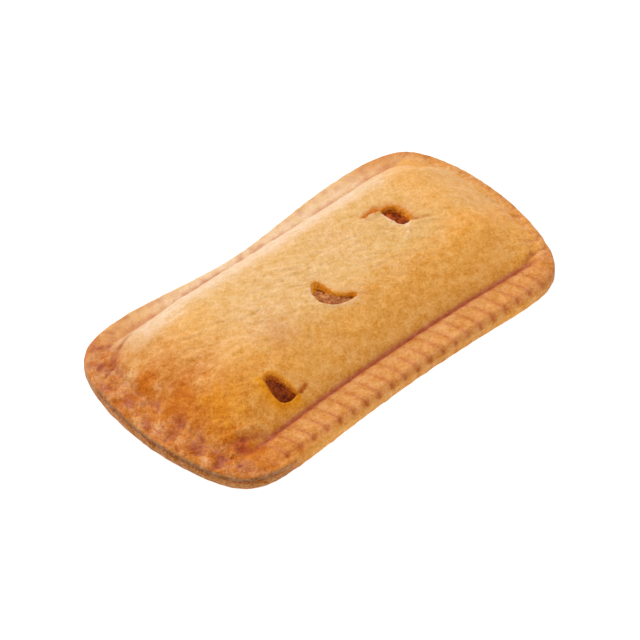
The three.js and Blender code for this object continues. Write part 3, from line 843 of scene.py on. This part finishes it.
class Baking:
    """How far the crust goes to each of its colours at each vertex, from 0 to 1: a method for each colour.

    x, y and z are in mm, and the channels are those of the surface.
    """

    COLOURS = (
        "pale_and_highlight", "toasted", "amber", "tan", "rosy", "dark", "oily", "wall", "scorched", "deep", "cut", "seam",
        "side", "flecks_and_glints",
    )

    def __init__(self, shape, x, y, z, channels):
        self.shape, self.x, self.y, self.z = shape, x, y, z
        self.edge, self.depth, self.lip = channels["edge"], channels["depth"], channels["lip"]
        self.oil, self.baked, self.upper = channels["oil"], channels["baked"], channels["upper"]
        self.on_skin = self.depth < 0.05
        self.on_top = (self.edge > 0.3) & self.on_skin
        self.parts = shape.crimps(x, y)
        self.crag_zone = shape.crag_zone(x, y)
        self.crags = shape.crags(x, y)
        # Hollows between the knobs, which the rosy and dark colours paint as shade.
        self.low = smooth(-self.crags, -0.42, -0.12) * self.crag_zone
        self.spot, self.fleck = (shape.patches(x, y, *sizes) for sizes in PATCH_SIZES.values())
        self.blotch = 0.5 * shape.swell(x + 7, y - 5)
        self.pits = shape.pits(x, y) / 0.5
        slanted = x + 0.45 * np.clip(y - 2, 0, None)
        self.left = 1 - smooth(slanted + 1.6 * shape.swell(x, y), *ZONES["left_end"])
        self.far_band = smooth(y, FAR_GROOVE_Y - 0.3, FAR_GROOVE_Y + 1.0)
        off_dome = (1 - smooth(shape.dome(x, y), 0.1, 1.2)) * smooth(y, *ZONES["far_end_y"])
        off_dome = off_dome * smooth(x, *ZONES["far_end_x"])
        middle = smooth(x, *ZONES["far_brown_to"]) * (1 - 0.5 * smooth(x, *ZONES["far_brown_from"]))
        self.browner = np.maximum(self.far_band * (1 - middle), 0.4 * off_dome)
        groove_distance = y - near_groove(x)
        self.in_band = 1 - smooth(groove_distance, -1.2, 0.6)
        self.groove_foot = smooth(-groove_distance, -0.25, 0.15) * crimp_fade(x)
        self.groove = groove_distance + GROOVE["offset"]
        self.creased = sum(
            darkened * bump(segment_distance(x, y, *ends), 1.1 * half_width)
            for *ends, _, half_width, darkened in CREASES
        )
        self.crease_on_dome = smooth(x, -46, -40) * (1 - smooth(x, 50, 58))
        self.rim = smooth(-self.edge, -0.5, -0.1) * seam_open(x, y)

    def pale_and_highlight(self):
        """Far shoulder and band as a painted sheen, a patch in the middle, and painted highlights on knob and
        ridge tops and raised edges.
        """
        x, y = self.x, self.y
        along = 1 - smooth(x - 11 * self.far_band, *ZONES["far_pale_to"])
        along = smooth(x, *ZONES["far_pale_from"]) * along
        # The far shoulder and band are lightened as a painted sheen.
        far = smooth(y, *ZONES["far_shoulder"]) * (1 - 0.45 * smooth(y, *ZONES["far_rim"]))
        patch_x, patch_y, long, wide = PALE_PATCH
        patch = np.hypot((x - patch_x) / long, (y - patch_y) / wide)
        high = smooth(self.crags, 0.50, 0.80) * self.crag_zone
        pale_and_highlight = 0.95 * far * along * (1 - 0.7 * self.browner) + 0.22 * bump(patch, 1)
        pale_and_highlight += 0.10 * self.blotch * smooth(self.shape.dome(x, y), 0.3, 2.5)
        # Painted highlights on the knob tops, with painted glints on some of them, and on the tops of the
        # near ridges.
        pale_and_highlight += high * (0.12 + 0.5 * (self.fleck > 0.7)) + 0.2 * self.parts["near_ridge"] ** 3
        # Painted glints on the crags of the right end.
        pale_and_highlight += 0.5 * self.crag_zone * (self.fleck > 0.6) * (x > 0)
        # Painted highlights along the raised places.
        for *ends, _, half_width, highlight_share in RAISED:
            pale_and_highlight += highlight_share * bump(segment_distance(x, y, *ends), 0.8 * half_width)
        # Painted highlights round the slits' lips: a faint halo, and a bright line along each near lip.
        pale_and_highlight += 0.08 * bump(self.lip - 1.3, 0.9) * (self.baked < 0.3) * (1 - 0.8 * self.oil)
        pale_and_highlight += 0.6 * (1 - self.upper) * bump(self.lip - 0.4, 0.45) * self.on_skin * (1 - 0.7 * self.oil)
        # Painted highlights along the near side of the lifted edges.
        for *ends, _, reach in LIFTED:
            lifted = bump(line_side(x, y, *ends) + 0.3, 0.4)
            pale_and_highlight += 0.3 * lifted * bump(segment_distance(x, y, *ends), 0.5 * reach)
        return pale_and_highlight * self.on_top

    def toasted(self):
        """Near slope and both ends of the dome, but not beyond the slit with the raised lip."""
        x, y = self.x, self.y
        toasted = smooth(-y, *ZONES["near_slope"]) * (1 - 0.15 * smooth(-y, *ZONES["near_foot"]))
        toasted += 0.55 * smooth(x, *ZONES["right_toasted"]) + 0.5 * smooth(-x, *ZONES["left_toasted"])
        beyond = smooth(y, *ZONES["flap_far"]) * smooth(-x, *ZONES["flap_side"])
        return toasted * (1 - beyond) * (1 - 0.7 * self.far_band) + 0.15 * self.blotch

    def amber(self):
        """Left end, spots on the crags, dimples, creases on the dome (partly painted shade), and round the
        slits that baked dark.
        """
        spotted = self.crag_zone * (self.spot > 0.5)
        amber = 0.88 * self.left * (1 - 0.6 * self.crag_zone) + spotted * np.where(self.x < 0, 0.6, 0.25)
        amber += 0.12 * self.shape.uneven(self.x, self.y) * self.left + 0.5 * self.parts["near_dimple"]
        amber += 1.2 * self.creased * self.crease_on_dome
        return amber + self.baked * (0.9 * bump(self.lip, 1.0) + 0.4 * bump(self.lip, 2.4)) * self.on_skin

    def tan(self):
        """Near band except its ridges and rolled edge, the browner part of the far band, and the left end."""
        x, y = self.x, self.y
        tan = 0.85 + 0.1 * smooth(-y, *ZONES["near_margin"]) - 0.5 * smooth(-y, *ZONES["near_edge"])
        tan = self.in_band * (tan - 0.25 * self.parts["near_ridge"] ** 2)
        # On the near side the rim's downward-facing side is painted lighter: painted light for what the floor
        # throws up onto it.
        tan -= 0.5 * smooth(-self.edge, -0.8, 0.0) * near_rim(x, y)
        tan += 0.5 * self.browner + 0.5 * self.crag_zone * (x < 0)
        return tan + 0.55 * smooth(-self.edge, *ZONES["from_rim"]) * smooth(x, *ZONES["right_corner"])

    def rosy(self):
        """What is pressed in: grooves, valleys, dimples, pits, creases at the ends and between the knobs;
        partly painted shade.
        """
        rosy = 0.85 * bump(self.groove, 1.25) * self.groove_foot
        rosy += 0.60 * self.parts["near_valley"] + 0.35 * self.parts["far_valley"]
        rosy += 0.10 * bump(self.shape.dimple_distance(self.x, self.y), 1.6) + 0.25 * self.parts["far_groove"]
        rosy += 0.7 * self.low + 0.2 * self.crag_zone * (self.spot < 0.35) + 0.7 * self.pits
        uneven = self.shape.uneven(2 * self.x, 2 * self.y)
        rosy += (0.04 + 0.12 * uneven + 0.10 * self.browner) * self.far_band
        return (rosy + 0.6 * self.creased * (1 - self.crease_on_dome)) * self.on_top

    def dark(self):
        """Bottoms of the dimples, pits, creases and the near groove, and the hollows between knobs, darkened
        as painted shade.
        """
        dark = 0.45 * self.parts["near_dimple"] + 0.6 * self.pits * (0.35 + 0.65 * (self.fleck < 0.6))
        dark += 0.3 * self.low * (self.fleck < 0.5) + 0.35 * bump(self.groove - 0.1, 0.5) * self.groove_foot
        return (dark + 0.3 * self.creased) * self.on_top

    def oily(self):
        """Lip that fat has soaked."""
        return self.oil * (0.95 * bump(self.lip, 2.3) + 0.35 * bump(self.lip, 5.0)) * self.on_skin

    def wall(self):
        """Torn crumb in a slit, from its far lip down."""
        return np.maximum(smooth(self.depth, 0.0, 0.3), (0.1 + 0.7 * self.upper) * bump(self.lip, 0.5))

    def scorched(self):
        """Torn crumb that baked dark, more so further down."""
        scorched = (0.4 + 0.6 * smooth(self.depth, 0.3, 1.4)) * smooth(self.depth, 0.0, 0.2)
        return self.baked * (scorched + 0.25 * bump(self.lip, 0.7) * self.on_skin)

    def deep(self):
        """Foot of a slit's wall, darker further down: painted shade in the slit."""
        return 0.6 * smooth(self.depth, 1.7, 3.0)

    def cut(self):
        """Cut edge of the top sheet where the seam stands open."""
        return self.rim * smooth(self.z, 3.1, 3.4) * smooth(-self.z, -4.25, -4.05)

    def seam(self):
        """Line between the two sheets, darkened as painted shade in the gap between them."""
        return 0.45 * self.rim * bump(self.z - 3.0, 0.22)

    def side(self):
        """Side of the bottom sheet."""
        return smooth(-self.edge, -0.3, 0.0) * (1 - near_rim(self.x, self.y))

    def flecks_and_glints(self):
        """Painted glints: pale flecks on the crags of the left end."""
        return 0.25 * self.crag_zone * (self.x < 0) * self.on_top

    def grainy(self):
        """How strongly the fine spots show: most near and on the left end, least on the far side."""
        near, far = smooth(-self.y, *ZONES["near_grain"]), smooth(self.y, *ZONES["far_shoulder"])
        return 1 + 0.3 * near + 0.7 * self.left + 0.5 * self.crag_zone - 0.45 * far

    def masks(self):
        """All of these by name, with the stains on them, and one even brown on the flat base."""
        masks = {name: getattr(self, name)() for name in self.COLOURS}
        frayed = self.shape.frayed(self.x, self.y, STAIN_FRAY)
        for x, y, radius, name, amount in STAINS:
            masks[name] = masks[name] + amount * bump(np.hypot(self.x - x, self.y - y) * frayed, radius)
        base = self.z < SOLE_TOP
        for name, values in masks.items():
            masks[name] = np.where(base, SOLE_SHARE * (name == "side"), np.clip(values, 0, 1))
        return {**masks, "grainy": np.where(base, 1.0, self.grainy())}


def meat_relief(shape, lump):
    """Minced meat: round lumps on two sizes of cells, sunk by up to the lump's size."""
    return lambda x, y: lump * (1 - knobs(*warped(x, y, shape.puff, KNOB_WARP), MEAT_KNOBS))


def linear(code):
    """Linear RGB of an sRGB hex colour such as "#D9A05C"."""
    values = [int(code[i : i + 2], 16) / 255 for i in (1, 3, 5)]
    return tuple(v / 12.92 if v <= 0.04045 else ((v + 0.055) / 1.055) ** 2.4 for v in values)


def colour_property(name, description, code):
    """A colour in the panel, given as sRGB hex."""
    return FloatVectorProperty(
        name=name, description=description, subtype="COLOR", size=3, min=0, max=1, default=linear(code)
    )


def length_property(name, description, millimetres):
    """A length in the panel, given in mm."""
    return FloatProperty(name=name, description=description, unit="LENGTH", min=0, default=millimetres * MM)


def share_property(name, description, share):
    """A plain number from 0 to 1 in the panel."""
    return FloatProperty(name=name, description=description, min=0, max=1, default=share)


def power_property(name, description, watts):
    """Power of a light in the panel."""
    return FloatProperty(name=name, description=description, unit="POWER", min=0, default=watts)


class CrustSettings(PropertyGroup):
    """Sizes and colours of the pastry case."""

    dome_rise: length_property("Dome rise", "Height of the dome above the crimped band", 12.2)
    crown: length_property("Crown", "Extra rise of the middle of the dome", 1.4)
    crust: length_property("Crust", "Thickness of the top sheet over the filling", 3.0)
    ridge_height: length_property("Ridge height", "Height of the crimp ridges", 0.34)
    ridge_pitch: length_property("Ridge pitch", "Distance from one crimp ridge to the next", 5.27)
    dimple_depth: length_property("Dimple depth", "Depth of the dimple at the foot of each valley", 0.7)
    groove_depth: length_property("Groove depth", "Depth of the pressed line round the dome", 0.9)
    crag_height: length_property("Crag height", "Height of the small crags on the ends", 1.0)
    golden: colour_property("Golden", "Colour of the evenly baked crust", "#DEAD6B")
    # Pale: also the colour of the painted sheen, highlights and glints.
    pale_and_highlight: colour_property("Pale", "Colour where the crust browned least", "#E3BF98")
    toasted: colour_property("Toasted", "Colour of the near slope and the right end", "#E6A048")
    browned: colour_property("Browned", "Filter that browns the fine darker spots", "#EBD88A")
    tan: colour_property("Tan", "Colour of the crimped band", "#CF8746")
    amber: colour_property("Amber", "Colour where the egg wash browned most", "#C2690C")
    rosy: colour_property("Rosy", "Colour of the creases, grooves and valleys", "#B25A3E")
    # Dark: the colour of painted shade in the dimples, pits, creases, groove, seam and the foot of a slit,
    # and of the layers in the bottom sheet's side.
    dark: colour_property("Dark", "Colour of the dimples and pits", "#8C3014")
    oil: colour_property("Oil", "Colour where fat soaked the crust", "#DE8A0C")
    crumb: colour_property("Crumb", "Colour of the torn wall in a slit", "#EE9A22")
    scorched: colour_property("Scorched crumb", "Colour of the torn wall where it baked dark", "#A83A06")
    sole: colour_property("Sole", "Colour of the bottom sheet's side", "#B67840")
    cut: colour_property("Cut edge", "Colour of the cut edge of the top sheet", "#926844")
    mottle: share_property("Mottle", "How strongly fine spots lighten and darken the crust", 0.5)


class FillingSettings(PropertyGroup):
    """Sizes and colours of the filling."""

    gap: length_property("Gap", "Space between the filling and the case", 0.15)
    lump: length_property("Lump", "How far the meat sinks between its lumps", 0.7)
    brown: colour_property("Brown", "Colour of the cooked meat", "#7A3018")
    juice: colour_property("Juice", "Colour of the dark cooked juice between the lumps", "#3A0C04")
    pink: colour_property("Pink", "Colour of the palest meat", "#DA9658")
    fat: colour_property("Fat", "Colour of the fat on the meat", "#CC5E0C")


class StageSettings(PropertyGroup):
    """The floor, camera and light."""

    floor: colour_property("Floor", "Colour of the floor", "#A8A8A8")
    key_power: power_property("Key light", "Power of the softbox behind the slice", 6.5)
    top_power: power_property("Top light", "Power of the large softbox overhead", 12.8)
    sky: share_property("Sky", "Strength of the even light from all round", 0.5)


def add_node(tree, kind, output=0, settings=None, own=None, **inputs):
    """Adds a node, sets its settings, sets or links its inputs by name or number, and returns an output."""
    node = tree.nodes.new(kind)
    for name, value in {**(settings or {}), **(own or {})}.items():
        setattr(node, name, value)
    for name, value in inputs.items():
        numbered = name[0] == "i" and name[1:].isdigit()
        socket = node.inputs[int(name[1:])] if numbered else node.inputs[name.replace("_", " ")]
        if isinstance(value, bpy.types.NodeSocket):
            tree.links.new(value, socket)
        else:
            socket.default_value = value
    return node.outputs[output]


# Kinds of node that the materials use, with the output that is read and their own settings.
STORED = ("ShaderNodeAttribute", 2)
NOISE = ("ShaderNodeTexNoise", 0)
MIX = ("ShaderNodeMix", 2, {"data_type": "RGBA"})
SCALE_ADD = ("ShaderNodeMath", 0, {"operation": "MULTIPLY_ADD", "use_clamp": False})
SHARE = ("ShaderNodeMath", 0, {"operation": "MULTIPLY_ADD", "use_clamp": True})


def rgba(colour):
    """A colour from the panel with full alpha."""
    return (*colour, 1.0)


def new_material(name):
    """An empty node material, its tree and its shader."""
    material = bpy.data.materials.new(name)
    material.use_nodes = True
    return material, material.node_tree, material.node_tree.nodes["Principled BSDF"]


# Grain of the crust, in mm: longest spots, fine specks, how much longer they are than wide; how strongly each
# browns; above which value of the noise the cragged skin has pale flecks, painted glints; and the layers that
# show in the side of the bottom sheet: their length, and how flat they are for it.
MOTTLE_SIZE = 3.0
SPECK_SIZE = 0.8
GRAIN_STRETCH = 1.12
MOTTLE_SHARE = 5.6
SPECK_SHARE = 5.0
FLECK_SHARE = 0.70
STRATA_LENGTH = 3.0
STRATA_FLATTENING = 0.15


def crust_material(colours):
    """Egg-washed shortcrust, baked: golden, finely mottled with brown, satin, and redder in its creases; it
    also carries painted sheen, highlights, glints and shade.
    """
    material, tree, shader = new_material("egg-washed baked shortcrust")
    place = add_node(tree, "ShaderNodeTexCoord", "Object")
    drawn = add_node(tree, "ShaderNodeMapping", own={"vector_type": "TEXTURE"}, i0=place,
                     i2=(0, 0, WRINKLE_HEADING), i3=(GRAIN_STRETCH, 1, 1))
    mottle = add_node(tree, *NOISE, Vector=drawn, Scale=1 / (MOTTLE_SIZE * MM), Detail=3.0, Roughness=0.75)
    speck = add_node(tree, *NOISE, Vector=drawn, Scale=1 / (SPECK_SIZE * MM), Detail=2.0, Roughness=0.8)

    layered = add_node(tree, "ShaderNodeMapping", own={"vector_type": "TEXTURE"}, i0=place,
                       i3=(1, 1, STRATA_FLATTENING))
    strata = add_node(tree, *NOISE, Vector=layered, Scale=1 / (STRATA_LENGTH * MM), Detail=3.0, Roughness=0.7)

    colour = rgba(colours.golden)
    # Colour layers: the pale layer and the flecks carry painted sheen, highlights and glints, the rosy and
    # dark layers are partly painted shade in hollows, and the layers at a slit's foot and at the seam are
    # painted shade.
    for paint, name, grain, middle, amount in (
        (colours.toasted, "toasted", mottle, 0.5, 0.5), (colours.pale_and_highlight, "pale_and_highlight", mottle, 0.5, -0.5),
        (colours.tan, "tan", speck, 0.5, 0.2), (colours.amber, "amber", mottle, 0.5, 0.6),
        (colours.oil, "oily", mottle, 0.5, 0.4), (colours.rosy, "rosy", mottle, 0.5, 0.5),
        (colours.dark, "dark", speck, 0.5, 0.4), (colours.pale_and_highlight, "flecks_and_glints", speck, FLECK_SHARE, 4.0),
        (colours.crumb, "wall", speck, 0.5, 0.3), (colours.scorched, "scorched", speck, 0.5, 1.0),
        (colours.dark, "deep", speck, 0.5, 0.5),
        (colours.sole, "side", mottle, 0.5, 0.8), (colours.cut, "cut", speck, 0.5, 0.2),
        (colours.dark, "seam", speck, 0.5, 3.0), (colours.dark, "side", strata, 0.74, 5.0),
    ):
        stored = add_node(tree, *STORED, own={"attribute_name": name})
        centred = add_node(tree, *SCALE_ADD, i0=grain, i1=amount, i2=1 - middle * amount)
        share = add_node(tree, *SHARE, i0=stored, i1=centred, i2=0.0)
        colour = add_node(tree, *MIX, i0=share, i6=colour, i7=rgba(paint))

    # Darker spots and lighter ones, as a brown filter that goes from below 0 to above it round its mean.
    grainy = add_node(tree, *STORED, own={"attribute_name": "grainy"})
    coarse = add_node(tree, *SCALE_ADD, i0=mottle, i1=MOTTLE_SHARE * colours.mottle,
                      i2=-0.5 * (MOTTLE_SHARE + SPECK_SHARE) * colours.mottle)
    spots = add_node(tree, *SCALE_ADD, i0=speck, i1=SPECK_SHARE * colours.mottle, i2=coarse)
    browned = add_node(tree, *SCALE_ADD, i0=spots, i1=grainy, i2=0.0)
    colour = add_node(tree, *MIX, own={"blend_type": "MULTIPLY", "clamp_factor": False},
                      i0=browned, i6=colour, i7=rgba(colours.browned))
    tree.links.new(colour, shader.inputs["Base Color"])

    rough = add_node(tree, *SHARE, i0=mottle, i1=0.2, i2=0.38)
    tree.links.new(rough, shader.inputs["Roughness"])
    shader.inputs["IOR"].default_value = 1.45
    shader.inputs["Specular IOR Level"].default_value = 0.15
    relief = add_node(tree, "ShaderNodeBump", "Normal", Strength=0.8, Distance=0.5 * MM, Height=speck)
    tree.links.new(relief, shader.inputs["Normal"])
    return material


def meat_material(colours):
    """Minced meat, stewed: brown lumps with pinkish ones among them, wet with orange fat."""
    material, tree, shader = new_material("stewed minced meat")
    place = add_node(tree, "ShaderNodeTexCoord", "Object")
    blotch = add_node(tree, *NOISE, Vector=place, Scale=1 / (3.0 * MM), Detail=3.0)
    speck = add_node(tree, *NOISE, Vector=place, Scale=1 / (0.9 * MM), Detail=3.0)
    colour = rgba(colours.brown)
    for paint, name, grain, amount in (
        (colours.juice, "dim", speck, 14.0), (colours.fat, "fat", blotch, 5.0),
        (colours.pink, "pink", blotch, 2.5), (colours.brown, "flecks_and_glints", speck, 8.0),
    ):
        stored = add_node(tree, *STORED, own={"attribute_name": name})
        centred = add_node(tree, *SCALE_ADD, i0=grain, i1=amount, i2=1 - 0.5 * amount)
        share = add_node(tree, *SHARE, i0=stored, i1=centred, i2=0.0)
        colour = add_node(tree, *MIX, i0=share, i6=colour, i7=rgba(paint))
    tree.links.new(colour, shader.inputs["Base Color"])
    shader.inputs["Roughness"].default_value = 0.42
    shader.inputs["IOR"].default_value = 1.4
    shader.inputs["Specular IOR Level"].default_value = 0.1
    relief = add_node(tree, "ShaderNodeBump", "Normal", Strength=1.0, Distance=0.5 * MM, Height=speck)
    tree.links.new(relief, shader.inputs["Normal"])
    return material


def floor_material(colour):
    """Matt white paper on a light table: no gloss and an even glow, so that it stays one plain white."""
    material, _, shader = new_material("matt white paper")
    shader.inputs["Base Color"].default_value = rgba(colour)
    shader.inputs["Roughness"].default_value = 0.9
    shader.inputs["Specular IOR Level"].default_value = 0.0
    shader.inputs["Emission Color"].default_value = (1, 1, 1, 1)
    shader.inputs["Emission Strength"].default_value = 0.85
    return material


def place_piece(data, node, material):
    """Makes the object of a mesh, smooth shaded, gives it its material slot and body, and hides the CAD part
    of its node.
    """
    piece = bpy.data.objects.new(data.name, data)
    bpy.context.scene.collection.objects.link(piece)
    data.materials.append(material)
    data.shade_smooth()
    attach(piece, ROOT)
    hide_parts(node)
    return piece


def cut_space(piece, shape):
    """Cuts the space for the filling out of the case."""
    core_surface = filling_surface(shape, CORE_COLUMNS, CORE_ROWS, 0, lambda x, y: 0 * x, SLIT_BULGE["rise"])
    core_data = core_surface.mesh("core")
    core = bpy.data.objects.new("core", core_data)
    bpy.context.scene.collection.objects.link(core)
    cut = piece.modifiers.new("space", "BOOLEAN")
    cut.operation = "DIFFERENCE"
    cut.solver = "MANIFOLD"
    cut.object = core
    bpy.context.view_layer.objects.active = piece
    bpy.ops.object.modifier_apply(modifier=cut.name)
    bpy.data.objects.remove(core)
    bpy.data.meshes.remove(core_data)


def flatten_base(data):
    """Shades the faces that point straight down flat, so that the rounded rim doesn't tint the underside."""
    normals = np.empty(len(data.polygons) * 3, np.float32)
    data.polygons.foreach_get("normal", normals)
    data.polygons.foreach_set("use_smooth", normals[2::3] > -0.9999)


class TURNOVER_OT_case(Operator):
    """Build the pastry case: domed, crimped, slit and hollow for its filling"""

    bl_idname = "turnover.case"
    bl_label = "Pastry case"

    def execute(self, context):
        settings = context.scene.turnover_crust
        shape = CrustShape(settings)
        data = case_surface(shape).mesh("pastry_case")
        piece = place_piece(data, "pastry", crust_material(settings))
        cut_space(piece, shape)
        flatten_base(data)
        x, y, z = vertex_places(data)
        channels = take_channels(data)
        # The walls of the cut space bring no channels of their own, and lie as deep as the crust is thick, so
        # they take the painted shade of a slit's foot.
        inner = (channels["edge"] == 0) & (channels["lip"] == 0) & (z > 1)
        channels["depth"] = np.where(inner, shape.crust, channels["depth"])
        for name, values in Baking(shape, x, y, z, channels).masks().items():
            put_attribute(data, name, values)
        return {"FINISHED"}


class TURNOVER_OT_filling(Operator):
    """Build the meat filling, which shows through the slits"""

    bl_idname = "turnover.filling"
    bl_label = "Meat filling"

    def execute(self, context):
        settings = context.scene.turnover_filling
        shape = CrustShape(context.scene.turnover_crust)
        relief = meat_relief(shape, settings.lump / MM)
        bulge = SLIT_BULGE["rise"] + MEAT_PUFF
        surface = filling_surface(shape, FILLING_COLUMNS, FILLING_ROWS, settings.gap / MM, relief, bulge)
        data = surface.mesh("meat_filling")
        place_piece(data, "filling", meat_material(settings))
        take_channels(data)
        x, y, _ = vertex_places(data)
        pink = bump(np.hypot(x - PINK_MEAT[0], y - PINK_MEAT[1]), MEAT_SPREAD)
        fat = bump(np.hypot(x - FAT_MEAT[0], y - FAT_MEAT[1]), MEAT_SPREAD)
        put_attribute(data, "pink", 0.75 * pink)
        put_attribute(data, "fat", 0.15 * fat + 0.2)
        put_attribute(data, "dim", 0.45 - 0.25 * pink)
        put_attribute(data, "flecks_and_glints", 0.4 * pink)
        return {"FINISHED"}


# Camera: the direction it looks from, its place in mm and its focal length in widths of the frame.
CAMERA_AZIMUTH = -42.667
CAMERA_ELEVATION = 45.165
CAMERA_PLACE = (-511.2, -552.2, 756.6)
CAMERA_FOCAL = 3500 / 640
SENSOR_WIDTH = 36.0

# The floor's plane lies this far above the flat base, in m, so that the two don't show through each other.
FLOOR_LEVEL = 0.00005

# Softboxes, in m: one low behind the slice, one large overhead.
KEY_PLACE = (-0.15, 0.95, 0.80)
KEY_SIZE = 0.4
TOP_PLACE = (0.0, 0.0, 1.3)
TOP_SIZE = 2.0


def add_softbox(name, place, size, power):
    """A square area light at a place, turned to the slice."""
    light = bpy.data.objects.new(name, bpy.data.lights.new(name, "AREA"))
    light.data.size = size
    light.data.energy = power
    light.location = place
    light.rotation_euler = (-Vector(place)).to_track_quat("-Z", "Y").to_euler()
    bpy.context.scene.collection.objects.link(light)


class TURNOVER_OT_stage(Operator):
    """Set up a plain white floor, soft studio light and the camera"""

    bl_idname = "turnover.stage"
    bl_label = "Stage"

    def execute(self, context):
        settings = context.scene.turnover_stage
        scene = context.scene
        bpy.ops.mesh.primitive_plane_add(size=4, location=(0, 0, FLOOR_LEVEL))
        floor = context.object
        floor.name = "floor"
        floor.data.materials.append(floor_material(settings.floor))

        azimuth, elevation = math.radians(CAMERA_AZIMUTH), math.radians(CAMERA_ELEVATION)
        level = math.cos(elevation)
        back = Vector((math.sin(azimuth) * level, -math.cos(azimuth) * level, math.sin(elevation)))
        right = Vector((math.cos(azimuth), math.sin(azimuth), 0))
        camera = bpy.data.objects.new("camera", bpy.data.cameras.new("camera"))
        camera.data.sensor_width = SENSOR_WIDTH
        camera.data.lens = CAMERA_FOCAL * SENSOR_WIDTH
        turn = Matrix((right, back.cross(right), back)).transposed().to_4x4()
        camera.matrix_world = Matrix.Translation(Vector(CAMERA_PLACE) * MM) @ turn
        scene.collection.objects.link(camera)
        scene.camera = camera

        world = bpy.data.worlds.new("studio")
        world.use_nodes = True
        world.node_tree.nodes["Background"].inputs["Color"].default_value = (1, 1, 1, 1)
        world.node_tree.nodes["Background"].inputs["Strength"].default_value = settings.sky
        scene.world = world

        add_softbox("key_softbox", KEY_PLACE, KEY_SIZE, settings.key_power)
        add_softbox("top_softbox", TOP_PLACE, TOP_SIZE, settings.top_power)
        scene.view_settings.view_transform = "Standard"
        return {"FINISHED"}


class TURNOVER_PT_panel(Panel):
    """Lists the sizes, the colours and the operators"""

    bl_idname = "TURNOVER_PT_panel"
    bl_label = "Turnover"
    bl_space_type = "VIEW_3D"
    bl_region_type = "UI"
    bl_category = "Turnover"

    def draw(self, context):
        for group, operator in (("turnover_stage", TURNOVER_OT_stage), ("turnover_crust", TURNOVER_OT_case),
                                ("turnover_filling", TURNOVER_OT_filling)):
            box = self.layout.box()
            settings = getattr(context.scene, group)
            for name in settings.__annotations__:
                box.prop(settings, name)
            box.operator(operator.bl_idname)


SETTINGS = {
    "turnover_stage": StageSettings, "turnover_crust": CrustSettings, "turnover_filling": FillingSettings,
}
CLASSES = (*SETTINGS.values(), TURNOVER_OT_stage, TURNOVER_OT_case, TURNOVER_OT_filling, TURNOVER_PT_panel)


def register():
    """Registers the classes and hangs the settings on the scene."""
    for cls in CLASSES:
        bpy.utils.register_class(cls)
    for name, group in SETTINGS.items():
        setattr(bpy.types.Scene, name, PointerProperty(type=group))


def unregister():
    """Takes the settings and the classes away again."""
    for name in SETTINGS:
        delattr(bpy.types.Scene, name)
    for cls in reversed(CLASSES):
        bpy.utils.unregister_class(cls)


def main():
    """Builds the stage and the two pieces."""
    register()
    bpy.ops.turnover.stage()
    bpy.ops.turnover.case()
    bpy.ops.turnover.filling()


if __name__ == "__main__":
    main()
